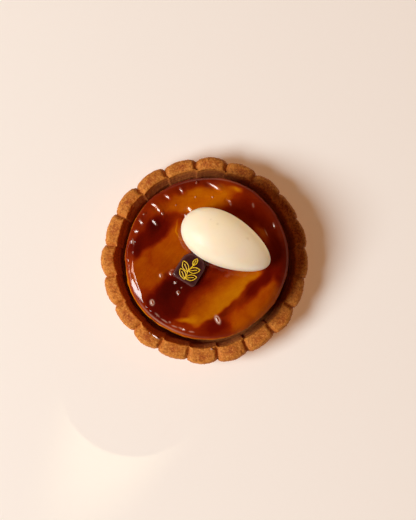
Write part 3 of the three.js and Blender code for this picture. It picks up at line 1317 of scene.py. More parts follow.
    def spilt(self, shell: bpy.types.Object) -> bpy.types.Object:
        """Leaves a smear and a drop of glaze on the rim, each leaning towards the light.

        Args:
            shell: The finished shell.

        Returns:
            The spilt glaze as one piece.
        """
        points = np.empty(len(shell.data.vertices) * 3)
        shell.data.vertices.foreach_get("co", points)
        points = points.reshape(-1, 3) / MM
        light = math.radians(self.light_bearing)
        lenses = []
        for drop in self.spill:
            near = np.hypot(points[:, 0] - drop.x, points[:, 1] - drop.y) < self.spill_search
            height = float(points[near, 2].max()) + self.spill_lift
            heading = math.radians(drop.heading)
            along = Vector((math.cos(heading), math.sin(heading), 0))
            facing = Vector((drop.slope * math.sin(light), drop.slope * math.cos(light), 1)).normalized()
            across = facing.cross(along).normalized()
            turn = Matrix((across.cross(facing), across, facing)).transposed().to_euler()
            girth = (drop.length / 2, drop.width / 2, self.spill_thickness)
            lenses.append(Lens((drop.x, drop.y, height), tuple(turn), girth))
        return lens_piece("spilt_glaze", lenses, self.glaze.build())

    def build(self) -> list[bpy.types.Object]:
        """Builds the shell, its grains and its spilt glaze, hides the frame's crust and hangs them on the
        body.

        Returns:
            The finished pieces.
        """
        material = self.finish.build()
        shell = self.press(material).made(self.blank(), "crust_shell")
        grains = self.grains(shell, material)
        spilt = self.spilt(shell)
        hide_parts(Solid.CRUST.value)
        for piece in (shell, grains, spilt):
            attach(piece, BODY)
        return [shell, grains, spilt]


# ---- Apple disc ------------------------------------------------------------------------------


@dataclass(frozen=True)
class Slice(Mark):
    """A slice of apple that swells the top by so many mm."""

    rise: float

    def swell(self, x: np.ndarray, y: np.ndarray) -> np.ndarray:
        """How far the slice lifts the top at each place.

        Args:
            x: Places to the right.
            y: Places to the back.

        Returns:
            The lift in mm.
        """
        along, across = self.local(x, y)
        reach = (along / (self.length / 2)) ** 2 + (across / (self.width / 2)) ** 2
        return self.rise * smoothstep(1 - reach, 0, 1)


@dataclass(frozen=True)
class Patch(Mark):
    """A patch of caramel on the top, clearer or darker, with a soft outline."""

    near: float
    far: float
    soft: float = 0.5
    bend: float = 0.0
    fullness: float = 2.0

    def painted(self, clarity: np.ndarray, x: np.ndarray, y: np.ndarray) -> np.ndarray:
        """Lays the patch over what is there.

        Args:
            clarity: Clarity of the caramel so far.
            x: Places to the right, already warped.
            y: Places to the back, already warped.

        Returns:
            The clarity with this patch on it.
        """
        along, across = self.local(x, y)
        along = along / (self.length / 2)
        across = (across - self.bend * along**2) / (self.width / 2)
        power = self.fullness
        reach = (np.abs(along) ** power + np.abs(across) ** power) ** (1 / power)
        cover = smoothstep(1 - reach, 0, self.soft)
        shade = self.near + (self.far - self.near) * np.clip((across + 1) / 2, 0, 1)
        return clarity + (shade - clarity) * cover

@dataclass
class AppleDisc:
    """The proud disc of caramelised apple, its glaze, and the bubbles in the glaze."""

    radius: float = 30.8
    top_height: float = 25
    shoulder_width: float = 4.5
    shoulder_drop: float = 2.6
    foot_radius: float = 30.1
    foot_height: float = 3.8
    foot_round: float = 1.2
    steps: int = 700
    rim_waves: tuple[Wave, ...] = (Wave(2, 0.27, 110), Wave(5, 0.19, 124))
    slices: tuple[Slice, ...] = (
        Slice(3.9, -15.3, 27, 38, 15, 0.45),
        Slice(18.7, -17.2, 48, 27, 12, 0.35),
        Slice(-17.2, 1, 52, 33, 17, 0.45),
        Slice(-2, 22.2, 8, 31, 10, 0.4),
        Slice(-20.7, 13.3, 60, 19, 9, 0.35),
        Slice(19.7, 7.9, 115, 28, 13, 0.35),
    )
    patches: tuple[Patch, ...] = (
        Patch(-17.7, 1, 50, 42, 25, 0.53, 0.5, 0.5),
        Patch(-22.7, -5.9, 60, 18, 11, 0.5, 0.5, 0.9),
        Patch(-11.8, 3.9, 62, 22, 12, 0.6, 0.54, 0.9),
        Patch(-2, 22.1, 11, 38, 12.5, 0.76, 0.62, 0.6),
        Patch(-12.8, 19.2, 25, 14, 8, 0.62, 0.56, 0.9),
        Patch(11.1, 25.8, -12, 8, 4, 1.0, 0.95, 0.9),
        Patch(-4.9, 29.2, 8, 24, 6.5, 0.3, 0.26, 0.8),
        Patch(7.9, 29.1, -15, 14, 4.5, 0.48, 0.42, 0.8),
        Patch(-19.2, 18.2, 50, 15, 8, 0.5, 0.42, 0.9),
        Patch(-21.4, 8.4, 43, 31, 9.5, 0.2, 0.2, 0.55, -1.0),
        Patch(-20.7, 12, 55, 11, 7, 0.05, 0.06, 0.9),
        Patch(-26.1, 3.9, 78, 14, 6, 0.1, 0.14, 0.9),
        Patch(16.7, 16.7, 130, 28, 15, 0.24, 0.28, 0.8),
        Patch(26.1, 3, 95, 24, 10, 0.24, 0.3, 0.8),
        Patch(20.7, 10.3, 128, 13, 4, 0.56, 0.5, 0.9),
        Patch(28.1, 9.8, 110, 13, 5, 0.4, 0.4, 0.9),
        Patch(19.7, -17.1, 46, 38, 17, 0.57, 0.54, 0.4),
        Patch(22.7, -13.8, 50, 11, 6, 0.54, 0.5, 0.95),
        Patch(14.3, -21.7, 38, 14, 7, 0.56, 0.54, 0.95),
        Patch(27.6, -6.2, 80, 16, 8, 0.24, 0.22, 0.8),
        Patch(18.2, -12.2, 48, 27, 7, 0.22, 0.22, 0.8, 0.4),
        Patch(22.6, -7.2, 58, 15, 7, 0.18, 0.18, 0.8),
        Patch(-13.3, -14.8, 47, 29, 18, 0.04, 0.05, 0.6),
        Patch(-18.7, -18.7, -45, 17, 9, 0.12, 0.12, 0.9),
        Patch(4.7, -11.2, 42, 38, 16, 0.88, 0.12, 0.2, 0, 4),
        Patch(-7.4, -23.5, 6, 12, 3, 0.86, 0.8, 0.9, 0.3),
        Patch(8.6, -14.4, 42, 32, 7, 0.84, 0.72, 0.95),
        Patch(3.2, -26.9, 8, 15, 7, 0.2, 0.16, 0.8),
        Patch(-8.9, -26.6, -12, 15, 5, 0.4, 0.36, 0.9),
        # Painted shade under the cream and the tablet.
        Patch(0.5, -6.4, 25, 15, 6.5, 0.34, 0.26, 0.9),
        Patch(-11.8, -16.2, 55, 19, 8.5, 0.13, 0.13, 0.8),
        # More painted shade under the cream and the tablet.
        Patch(-2.5, -9.2, 22, 15, 7, 0.2, 0.2, 0.9),
        # A thin bright line by the cream's left end: a painted reflection of the cream in the glaze.
        Patch(-11.2, 9.2, 99.5, 13, 1.3, 0.8, 0.8, 1.0, -2.6),
    )
    wrinkles: tuple[Wrinkle, ...] = (
        Wrinkle(-20.3, 19.9, -35, 2.2, 0.8, 0.2),
        Wrinkle(-18.8, 18.3, -55, 3.0, 0.8, 0.3),
        Wrinkle(-15.2, 23, -40, 2.6, 0.8, 0.3),
        Wrinkle(-9.9, 25.5, -62, 2.6, 0.8, 0.3),
        Wrinkle(2.5, 27.2, -30, 5.2, 0.9, 0.3),
        Wrinkle(7.9, 21.6, -30, 1.8, 0.6, 0.1),
        Wrinkle(8.8, 20.7, -75, 2.2, 0.8, 0.2),
        Wrinkle(17.5, 19.9, -80, 1.8, 0.7, 0.3),
        Wrinkle(25.4, 12.3, -75, 2.2, 0.6, 0.6),
        Wrinkle(22.4, 9.5, -65, 3.2, 0.45, 0.5),
        Wrinkle(-6.7, 18.2, -35, 2.4, 1.0, 0.3),
        Wrinkle(-8.3, 15.8, -80, 1.4, 0.8, 0.2),
        Wrinkle(-20.1, 13.1, -45, 2.6, 0.8, 0.3),
        Wrinkle(-25.2, 13.4, -65, 2.4, 0.9, 0.3),
        Wrinkle(-26.9, 9.8, -80, 1.4, 0.9, 0.3),
        Wrinkle(-28.1, 5.9, -80, 2.2, 0.7, 0.5, 0.15),
        Wrinkle(-6, -28.2, -10, 2.2, 0.5, 0.4, 0.2),
        Wrinkle(-9.6, -27.1, -24, 2.8, 0.6, 0.45, 0.24),
        Wrinkle(-12.4, -26.2, -20, 2.4, 0.5, 0.4, 0.2),
        Wrinkle(-14.2, -24.6, -40, 1.0, 0.6, 0.34, 0.3),
        Wrinkle(-16.2, -24.1, -34, 3.0, 0.5, 0.4, 0.22),
        Wrinkle(-18.9, -21.9, -44, 2.4, 0.6, 0.35, 0.24),
    )
    bubbles: tuple[Wrinkle, ...] = (
        Wrinkle(-17.1, 16.5, 0, 0.8, 0.8, 0.5),
        Wrinkle(-24.2, 16.4, 0, 0.5, 0.5, 0.5),
        Wrinkle(-4.2, 28.4, 0, 0.6, 0.6, 0.4),
        Wrinkle(-12, 19.8, 0, 0.5, 0.5, 0.4),
        Wrinkle(-4.6, 22.9, 0, 0.6, 0.6, 0.5),
        Wrinkle(1.9, 22.9, 0, 0.6, 0.6, 0.5),
        Wrinkle(-17.7, -7, -80, 1.5, 1.1, 0.6),
        Wrinkle(-13.9, -6.1, -60, 1.5, 1.0, 0.6),
        Wrinkle(-13.3, -4.9, -60, 0.8, 0.7, 0.4),
        Wrinkle(-12.3, -9.7, 20, 1.2, 0.7, 0.5),
        Wrinkle(-9.9, -11.6, 0, 0.5, 0.5, 0.3),
        Wrinkle(-11.1, -13.4, 0, 1.3, 1.1, 0.7),
        Wrinkle(-20.9, -17.2, -80, 1.7, 1.2, 0.8),
        Wrinkle(3.9, -23.6, -62, 2.6, 1.3, 0.8),
        Wrinkle(-8.9, -27.2, 10, 0.9, 0.5, 0.2),
    )
    light_bearing: float = 250
    catch_length: float = 0.62
    catch_width: float = 1.25
    bubble_shift: float = 0.3
    bubble_height: float = 0.16
    # Share of foam and painted glint above which it is laid as a ring.
    ring_foam_and_shine: float = 0.8
    bevel_width: float = 2.8
    bevel_slope: float = 0.6
    bevel_edge: float = 1.0
    bevel_bearings: tuple[float, ...] = (236, 246, 280, 294)
    crispness: Stretch = Stretch(195, 52, 1.6)
    sag: Stretch = Stretch(312, 40, 0.55)
    sag_start: float = 21
    golden: Stretch = Stretch(205, 60)
    # Stretches of the lip that get a painted pale reflection line.
    painted_lip_shine_stretches: tuple[Stretch, ...] = (Stretch(215, 22), Stretch(5, 25, 0.6), Stretch(92, 25, 0.5))
    ripples: tuple[Ripple, ...] = (Ripple(0.06, 4.0), Ripple(0.035, 1.6, east=31))
    brim_ripple: Ripple = Ripple(0.05, 2.4, north=55)
    layer_height: float = 3.4
    layer_drift: tuple[Wave, ...] = (Wave(3, 0.8, 20), Wave(7, 0.35, 140), Wave(2, 0.6, 75))
    layer_bulge: float = 0.28
    layer_unevenness: float = 0.3
    side_ripple: Ripple = Ripple(0.09, 1.8)
    side_inset: float = 0.2
    drip_length: float = 3.5
    drip_depth: float = 0.35
    warp_east: tuple[Ripple, ...] = (Ripple(0.9, 5.0), Ripple(0.4, 2.0, north=40))
    warp_north: tuple[Ripple, ...] = (Ripple(0.9, 5.0, east=70), Ripple(0.4, 2.0, east=90, north=10))
    ground_clarity: float = 0.32
    side_clarity: float = 0.74
    side_cloud: float = 0.16
    seam_above: float = 0.4
    seam_below: float = 0.35
    # Strength of the painted reflection line on the lip.
    painted_lip_shine: float = 0.4
    bare_flesh: float = 0.88
    finish: CaramelFinish = field(default_factory=CaramelFinish)
    glaze: GlazeFinish = field(default_factory=GlazeFinish)

    def section(self) -> np.ndarray:
        """Section from the middle of the underside to the middle of the top.

        Returns:
            Rows of radius and height.
        """
        shoulder = self.top_height - self.shoulder_drop
        flat = self.radius - self.shoulder_width
        inner = (self.foot_radius - self.foot_round, self.foot_height)
        foot = (self.foot_radius, self.foot_height + self.foot_round)
        waist = (self.radius, (self.foot_height + shoulder) / 2)
        brim = (self.radius, shoulder)
        turn = np.linspace(0, math.pi / 2, 29)[1:]
        over = (flat + self.shoulder_width * np.cos(turn), shoulder + self.shoulder_drop * np.sin(turn))
        round_over = np.stack(over, axis=1)
        inward = np.concatenate([np.linspace(flat, 15, 48)[1:], np.linspace(15, 0, 26)[1:]])
        top = np.stack([inward, np.full(len(inward), self.top_height)], axis=1)
        middle = (0.0, self.foot_height)
        legs = ((middle, inner, 3), (inner, foot, 2), (foot, waist, 9), (waist, brim, 22))
        sides = [bezier([start, end], steps) for start, end, steps in legs]
        return np.vstack([[middle], *sides, round_over, top])

    def top_at(self, x: np.ndarray, y: np.ndarray) -> np.ndarray:
        """Height of the top with the slices' swells, as in the frame's solid."""
        return self.top_height + np.max([part.swell(x, y) for part in self.slices], axis=0)

    def _smooth_top(self, x: float, y: float) -> float:
        """Height of the top at one place, without its ripples.

        Args:
            x: Place to the right.
            y: Place to the back.

        Returns:
            The height in mm.
        """
        radius, bearing = np.array([math.hypot(x, y)]), np.array([math.atan2(x, y)])
        radius = radius - waves_at(bearing, self.rim_waves) * (radius / self.radius) ** 2
        place = np.clip((radius - self.radius) / self.shoulder_width + 1, 0, 1)
        z = self.top_height - self.shoulder_drop * (1 - np.sqrt(1 - place**2))
        swell = self.top_at(np.array([x]), np.array([y])) - self.top_height
        lifted = swell * smoothstep(z, self.top_height - self.shoulder_drop, self.top_height)
        return float((self._shoulder(bearing, radius, z) + lifted)[0])

    def _lean(self, x: float, y: float, step: float = 0.1) -> tuple[float, float]:
        """How steeply the smooth top climbs at one place.

        Args:
            x: Place to the right.
            y: Place to the back.
            step: Half the distance that it is measured over.

        Returns:
            Slope to the right and slope to the back.
        """
        right = self._smooth_top(x + step, y) - self._smooth_top(x - step, y)
        back = self._smooth_top(x, y + step) - self._smooth_top(x, y - step)
        return right / (2 * step), back / (2 * step)

    def _catch(self, item: Wrinkle, x: np.ndarray, y: np.ndarray) -> np.ndarray:
        """Ripple of the glaze that faces the light over a wrinkle's length and width.

        Args:
            item: Wrinkle or bubble.
            x: Places to the right.
            y: Places to the back.

        Returns:
            Height of the ripple in mm.
        """
        light = math.radians(self.light_bearing)
        lean_right, lean_back = self._lean(item.x, item.y)
        rise_right = -item.slope * math.sin(light) - lean_right
        rise_back = -item.slope * math.cos(light) - lean_back
        uphill = (x - item.x) * rise_right + (y - item.y) * rise_back
        along, across = item.local(x, y)
        along = along / (self.catch_length * item.length)
        across = across / (self.catch_width * item.width)
        return uphill * np.exp(-(along**4)) * bell(across)

    def _bevelled(self, bearing: np.ndarray) -> np.ndarray:
        """Share of the shoulder that is bevelled, which it is at the left alone.

        Args:
            bearing: Bearing of each point.

        Returns:
            The share.
        """
        degrees = np.degrees(bearing) % 360
        start, full, fading, end = self.bevel_bearings
        return smoothstep(degrees, start, full) * (1 - smoothstep(degrees, fading, end))

    def _shoulder(self, bearing: np.ndarray, radius: np.ndarray, z: np.ndarray) -> np.ndarray:
        """Makes the shoulder crisp at the front, sagging at the back left and bevelled at the left.

        Args:
            bearing: Bearing of each point.
            radius: Its radius.
            z: Its height on an even shoulder.

        Returns:
            The new height of each point.
        """
        place = np.clip((radius - self.radius + self.shoulder_width) / self.shoulder_width, 0, 1)
        lateness = 1 + self.crispness.at(bearing)
        fall = self.shoulder_drop * (1 - np.sqrt(np.clip(1 - place ** (2 * lateness), 0, 1)))
        inset = radius - self.radius
        edge = np.clip(inset / self.bevel_edge + 1, 0, 1)
        bevel = self.bevel_slope * np.clip(inset + self.bevel_width, 0, self.bevel_width)
        lip = self.shoulder_drop - self.bevel_slope * self.bevel_width
        bevel = bevel + lip * (1 - np.sqrt(1 - edge**2))
        fall = fall + (bevel - fall) * self._bevelled(bearing)
        even = self.shoulder_drop * (1 - np.sqrt(np.clip(1 - place**2, 0, 1)))
        sag = self.sag.at(bearing) * smoothstep(radius, self.sag_start, self.radius - 1)
        return z + (even - fall - sag) * smoothstep(z, self.top_height - self.shoulder_drop, self.top_height)

    def grid(self) -> Grid:
        """The displaced surface of the disc.

        Returns:
            The surface in millimetres.
        """
        section = self.section()
        grid = Grid.lathe(section, self.steps)
        x, y, z = grid.points.T
        bearing = np.arctan2(x, y)
        radius = np.hypot(x, y)
        stretch = 1 + waves_at(bearing, self.rim_waves) * radius / self.radius**2
        x, y = x * stretch, y * stretch
        shoulder = self.top_height - self.shoulder_drop
        on_top = smoothstep(z, shoulder, self.top_height)
        noise = SoftNoise(Seed.RIPPLES)
        relief = rippled(0, noise, self.ripples, x, y)
        brim = smoothstep(radius, self.radius - 4, self.radius - 2)
        relief += rippled(0, noise, (self.brim_ripple,), x, y) * brim
        relief += sum(self._catch(item, x, y) for item in (*self.wrinkles, *self.bubbles))
        lifted = (self.top_at(x, y) - self.top_height) * on_top
        z = self._shoulder(bearing, radius, z) + lifted + relief * smoothstep(z, shoulder, shoulder + 0.8)
        below = 1 - smoothstep(z, shoulder + 0.6, self.top_height - 0.2)
        push = self._side_relief(bearing, z) * below * smoothstep(radius, 20, 30)
        x, y = x + push * np.sin(bearing), y + push * np.cos(bearing)
        grid.points = np.stack([x, y, z], axis=1)
        return grid

    def _layer(self, bearing: np.ndarray, z: np.ndarray) -> np.ndarray:
        """Which layer of apple slices shows on the side, counted with its fraction from the foot."""
        return (z - self.foot_height + waves_at(bearing, self.layer_drift)) / self.layer_height

    def _side_relief(self, bearing: np.ndarray, z: np.ndarray) -> np.ndarray:
        """How far slices' edges and drips of glaze stand out on the side.

        Args:
            bearing: Bearing of each point.
            z: Its height.

        Returns:
            How far it stands out, in mm.
        """
        layer = self._layer(bearing, z)
        within = layer - np.floor(layer)
        bulge = self.layer_bulge * (np.sqrt(np.clip(1 - (2 * within - 1) ** 2, 0, 1)) - 0.75)
        noise = SoftNoise(Seed.SIDE)
        turn = bearing * self.radius
        uneven = self.layer_unevenness * noise(turn, np.floor(layer) * 37 + z * 0.2, 6.0)
        uneven = rippled(uneven, noise, (self.side_ripple,), turn, z)
        reach = self.drip_length + self.drip_length * noise(turn, turn * 0, 5.0)
        end = self.top_height - self.shoulder_drop - reach
        drips = self.drip_depth * smoothstep(z, end - 1.2, end + 0.6)
        return bulge + uneven + drips - self.side_inset

    def clarity(self, x: np.ndarray, y: np.ndarray) -> np.ndarray:
        """How clear the caramel is on the top, from 0, near black, to 1, clear amber.

        Args:
            x: Places on the top to the right, in mm.
            y: Places on the top to the back, in mm.

        Returns:
            The clarity at each place.
        """
        noise = SoftNoise(Seed.CARAMEL)
        warped_x = rippled(x, noise, self.warp_east, x, y)
        warped_y = rippled(y, noise, self.warp_north, x, y)
        clarity = np.full_like(x, self.ground_clarity)
        for patch in self.patches:
            clarity = patch.painted(clarity, warped_x, warped_y)
        return clarity

    def fields(self, grid: Grid) -> dict[str, np.ndarray]:
        """What the finish reads at the points.

        Args:
            grid: The displaced surface.

        Returns:
            Clarity, the painted shine and foam, glaze, and the place along and across the fibres of the
            slice.
        """
        x, y, z = grid.points.T
        bearing = np.arctan2(x, y)
        radius = np.hypot(x, y)
        shoulder = self.top_height - self.shoulder_drop
        golden = self.golden.at(bearing)
        on_top = smoothstep(z, shoulder - 0.5 + golden, shoulder + 0.9 + 0.9 * golden)
        layer = self._layer(bearing, z)
        within = layer - np.floor(layer)
        turn = bearing * self.radius
        noise = SoftNoise(Seed.FLESH)
        side = self.side_clarity + self.side_cloud * noise(turn, np.floor(layer) * 29, 6.0)
        side = side - self.seam_below * bell((within - 0.02) / 0.12)
        side = side - self.seam_above * bell((1 - within) / 0.1)
        clarity = side + (self.clarity(x, y) - side) * on_top
        inset = radius - self.radius - waves_at(bearing, self.rim_waves)
        # A thin pale line along the lip, at the stretches: a painted reflection of the room.
        lip = bell((inset + 0.5) / 0.25) * smoothstep(z, shoulder - 1, shoulder + 1)
        haze = self.painted_lip_shine * lip * sum(stretch.at(bearing) for stretch in self.painted_lip_shine_stretches)
        # Pale foam and painted glints on the wrinkles and bubbles, as rings on the largest bubbles.
        for item in (*self.wrinkles, *self.bubbles):
            along, across = item.local(x, y)
            reach = np.hypot(along / (0.5 * item.length), across / (0.5 * item.width))
            foam_and_shine = bell((reach - 1) / 0.4) if item.foam_and_shine >= self.ring_foam_and_shine else bell(reach**2)
            haze = np.maximum(haze, item.foam_and_shine * foam_and_shine)
        heading = np.zeros_like(x)
        number = np.zeros_like(x)
        for index, part in enumerate(self.slices):
            inside = part.swell(x, y) > 0
            heading = np.where(inside, math.radians(part.heading), heading)
            number = np.where(inside, index + 1.0, number)
        along = x * np.cos(heading) + y * np.sin(heading)
        across = y * np.cos(heading) - x * np.sin(heading)
        on_side, on_top_face = (turn, z, 9 + np.floor(layer)), (along, across, number)
        fibre = np.stack([np.where(z < shoulder, *pair) for pair in zip(on_side, on_top_face)], axis=1)
        fibre[:, 2] *= 7.3
        bare = inset + 0.8 * (1 - self._bevelled(bearing))
        glaze = 1 - self.bare_flesh * smoothstep(bare, -1.15, -0.5)
        return {"clarity": clarity, "haze": np.clip(haze, 0, 1), "glaze": glaze, "fibre": fibre}

    def bubble_piece(self) -> bpy.types.Object:
        """Sets beads and bubbles of glaze on the top.

        Returns:
            The beads as one piece.
        """
        light = math.radians(self.light_bearing)
        lenses = []
        for bubble in self.bubbles:
            x = bubble.x - self.bubble_shift * math.sin(light)
            y = bubble.y - self.bubble_shift * math.cos(light)
            height = float(self.top_at(np.array([x]), np.array([y]))[0])
            girth = (bubble.length / 2, bubble.width / 2, bubble.width * self.bubble_height)
            lenses.append(Lens((x, y, height), (0, 0, math.radians(bubble.heading)), girth))
        return lens_piece("glaze_beads", lenses, self.glaze.build())

    def build(self) -> list[bpy.types.Object]:
        """Builds the disc and its beads, hides the frame's disc and hangs them on the body.

        Returns:
            The finished pieces.
        """
        grid = self.grid()
        disc = placed("glazed_apple", grid.mesh("glazed_apple", self.fields(grid)))
        disc.data.materials.append(self.finish.build())
        beads = self.bubble_piece()
        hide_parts(Solid.APPLE.value)
        for piece in (disc, beads):
            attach(piece, BODY)
        return [disc, beads]


# ---- Cream -----------------------------------------------------------------------------------


@dataclass
class CreamSpoonful:
    """The egg-shaped spoonful of cream, pressed flat where it lies."""

    apple: AppleDisc
    length: float = 36.5
    width: float = 19.6
    depth: float = 15.8
    settle: float = 1.2
    taper: float = 0.21
    droop: float = 1.1
    squareness: float = 2.25
    x: float = 6.9
    y: float = 5.4
    turn: float = -27
    gap: float = 0.3
    steps: int = 180
    rings: int = 120
    swell: float = 0.10
    ripple: float = 0.03
    pits: tuple[tuple[float, float, float], ...] = ((3.2, 11.5, 0.35), (14.6, 6.3, 0.4), (0.6, 13.2, 0.25))
    pit_depth: float = 0.3
    pit_floor: float = 30
    finish: CreamFinish = field(default_factory=CreamFinish)

    def build(self) -> list[bpy.types.Object]:
        """Builds the spoonful, hides the frame's cream and hangs it on the body.

        Returns:
            The finished piece.
        """
        angle = np.linspace(0, math.pi, self.rings + 1)
        ball = Grid.lathe(np.stack([np.sin(angle), -np.cos(angle)], axis=1), self.steps)
        up, side, along = ball.points.T
        up, side = side, -up
        girth = 1 - self.taper * along
        ring = np.maximum(np.hypot(side, up), 1e-9)
        power = self.squareness
        square = (np.abs(side / ring) ** power + np.abs(up / ring) ** power) ** (-1 / power)
        fuller = np.where(up > 0, square, 1.0)
        side, up = side * fuller, up * fuller
        local_x = along * self.length / 2
        local_y = side * girth * self.width / 2
        local_z = up * girth * self.depth / 2 - self.droop * along**2
        turn = math.radians(self.turn)
        x = self.x + local_x * math.cos(turn) - local_y * math.sin(turn)
        y = self.y + local_x * math.sin(turn) + local_y * math.cos(turn)
        z = self.apple.top_height + self.depth / 2 - self.settle + local_z
        noise = SoftNoise(Seed.CREAM)
        swell = self.swell * noise(x + 9, y + z, 7.0) + self.ripple * noise(x, y - z, 2.5)
        pit = np.zeros_like(x)
        for pit_x, pit_y, size in self.pits:
            pit = np.maximum(pit, bell(np.hypot(x - pit_x, y - pit_y) / size) * (z > self.pit_floor))
        z = z + (swell - self.pit_depth * pit) * np.clip(up, -1, 1)
        z = np.maximum(z, self.apple.top_at(x, y) + self.gap)
        ball.points = np.stack([x, y, z], axis=1)
        cream = placed("cream_spoonful", ball.mesh("cream_spoonful", {"pit": pit}))
        cream.data.materials.append(self.finish.build())
        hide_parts(Solid.CREAM.value)
        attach(cream, BODY)
        return [cream]


# ---- Chocolate tablet ------------------------------------------------------------------------


@dataclass
class ChocolateTablet:
    """The arch-topped tablet of dark chocolate with a sprig of leaves printed on it."""

    apple: AppleDisc
    width: float = 9.8
    length: float = 12
    thickness: float = 2
    corner: float = 1.6
    edge_round: float = 0.9
    x: float = -6.3
    y: float = -4.25
    turn: float = -32
    gap: float = 0.3
    line: float = 0.18
    dish: float = 0.05
    dish_shares: tuple[float, ...] = (0.85, 0.6, 0.3)
    dish_middle: float = 0.4
    # How much the painted sheen and bloom fade towards the ends of the rolled edge.
    edge_bloom_and_sheen_fall: float = 0.6
    finish: ChocolateFinish = field(default_factory=ChocolateFinish)
    gold: PrintFinish = field(default_factory=PrintFinish)

    def outline(self) -> np.ndarray:
        """Outline of the tablet, anticlockwise, about its own centre.

        Returns:
            Rows of x and y in mm.
        """
        side, foot = self.width / 2, -self.length / 2
        springing = self.length / 2 - side
        left = bezier([(-side, foot + self.corner), (-side, foot), (-side + self.corner, foot)], 8)
        right = bezier([(side - self.corner, foot), (side, foot), (side, foot + self.corner)], 8)
        angle = np.linspace(0, math.pi, 49)
        arch = np.stack([side * np.cos(angle), springing + side * np.sin(angle)], axis=1)
        straight = [bezier([left[-1], right[0]], 12)[:-1], bezier([right[-1], arch[0]], 10)[:-1]]
        closing = bezier([arch[-1], left[0]], 10)[:-1]
        return np.vstack([left, straight[0], right, straight[1], arch, closing])

    def _rest(self) -> float:
        """Height that the tablet lies at, just clear of the slices under it.

        Returns:
            The height of its underside in mm.
        """
        bearing = np.arange(72) * TURN / 72
        reach = self.length / 2
        x, y = self.x + reach * np.sin(bearing), self.y + reach * np.cos(bearing)
        middle = self.apple.top_at(np.array([self.x]), np.array([self.y]))
        return float(max(middle.max(), self.apple.top_at(x, y).max())) + self.gap

    def _laid(self, points: np.ndarray) -> np.ndarray:
        """Turns points of the tablet's own space into the tart's, in mm.

        Args:
            points: Rows of x, y and z about the tablet.

        Returns:
            Rows of x, y and z in the tart.
        """
        turn = math.radians(self.turn)
        x, y, z = points.T
        right = self.x + x * math.cos(turn) - y * math.sin(turn)
        back = self.y + x * math.sin(turn) + y * math.cos(turn)
        return np.stack([right, back, self._rest() + z], axis=1)

    def body(self) -> bpy.types.Object:
        """The bar of chocolate: the outline with rolled edges, and a face dished a little.

        Returns:
            The tablet.
        """
        outline = self.outline()
        before, after = np.roll(outline, 1, axis=0), np.roll(outline, -1, axis=0)
        along = after - before
        along /= np.linalg.norm(along, axis=1)[:, None]
        inward = np.stack([-along[:, 1], along[:, 0]], axis=1)
        roll = [(1 - math.sin(turn), 1 - math.cos(turn)) for turn in np.linspace(0, math.pi / 2, 7)]
        low = [(self.edge_round * sunk, self.edge_round * risen) for sunk, risen in roll]
        high = [(self.edge_round * risen, self.thickness - self.edge_round * sunk) for sunk, risen in roll]
        rows = [*low, *high]
        rings = [np.column_stack([outline + inward * inset, np.full(len(outline), z)]) for inset, z in rows]
        # Painted sheen and bloom along the rolled edge, most at its middle.
        edge_bloom_and_sheen = [1 - abs(2 * index / (len(high) - 1) - 1) * self.edge_bloom_and_sheen_fall for index in range(len(high))]
        edges = [0.0] * len(low) + edge_bloom_and_sheen + [0.0] * len(self.dish_shares)
        centre = np.array([0, (self.length / 2 - self.width / 2) * self.dish_middle])
        brim, face = rings[-1][:, :2], self.thickness - self.dish
        for share in self.dish_shares:
            rings.append(np.column_stack([centre + (brim - centre) * share, np.full(len(outline), face)]))
        points = np.vstack([*rings, [[*centre, 0.0], [*centre, face]]])
        faces = Grid.joined(len(rings), len(outline))
        edge = np.concatenate([np.repeat(edges, len(outline)), [0.0, 0.0]])
        mesh = smooth_mesh("chocolate_bar", self._laid(points) * MM, faces, {"edge": edge})
        mesh.materials.append(self.finish.build())
        return placed("chocolate_bar", mesh)

    def _leaf(self, x: float, y: float, heading: float, length: float) -> np.ndarray:
        """Outline of one leaf.

        Args:
            x: Place of its foot across the tablet.
            y: Place of its foot along the tablet.
            heading: Where it points, in degrees.
            length: Its length.

        Returns:
            Rows of x and y.
        """
        share = np.linspace(0, 1, 13)
        half = 0.25 * length * np.sin(math.pi * share) ** 0.8
        left, right = (np.stack([share * length, side * half], axis=1) for side in (1, -1))
        edge = np.concatenate([left, right[-2::-1]])
        turn = math.radians(heading)
        spin = np.array([[math.cos(turn), math.sin(turn)], [-math.sin(turn), math.cos(turn)]])
        return edge @ spin + (x, y)

    def _rib(self, x: float, y: float, heading: float, length: float) -> np.ndarray:
        """Middle rib of one leaf.

        Args:
            x: Place of the leaf's foot across the tablet.
            y: Place of the leaf's foot along the tablet.
            heading: Where it points, in degrees.
            length: Length of the leaf.

        Returns:
            Rows of x and y.
        """
        share = np.linspace(0, 0.72 * length, 5)
        turn = math.radians(heading)
        return np.column_stack([x + share * math.cos(turn), y + share * math.sin(turn)])

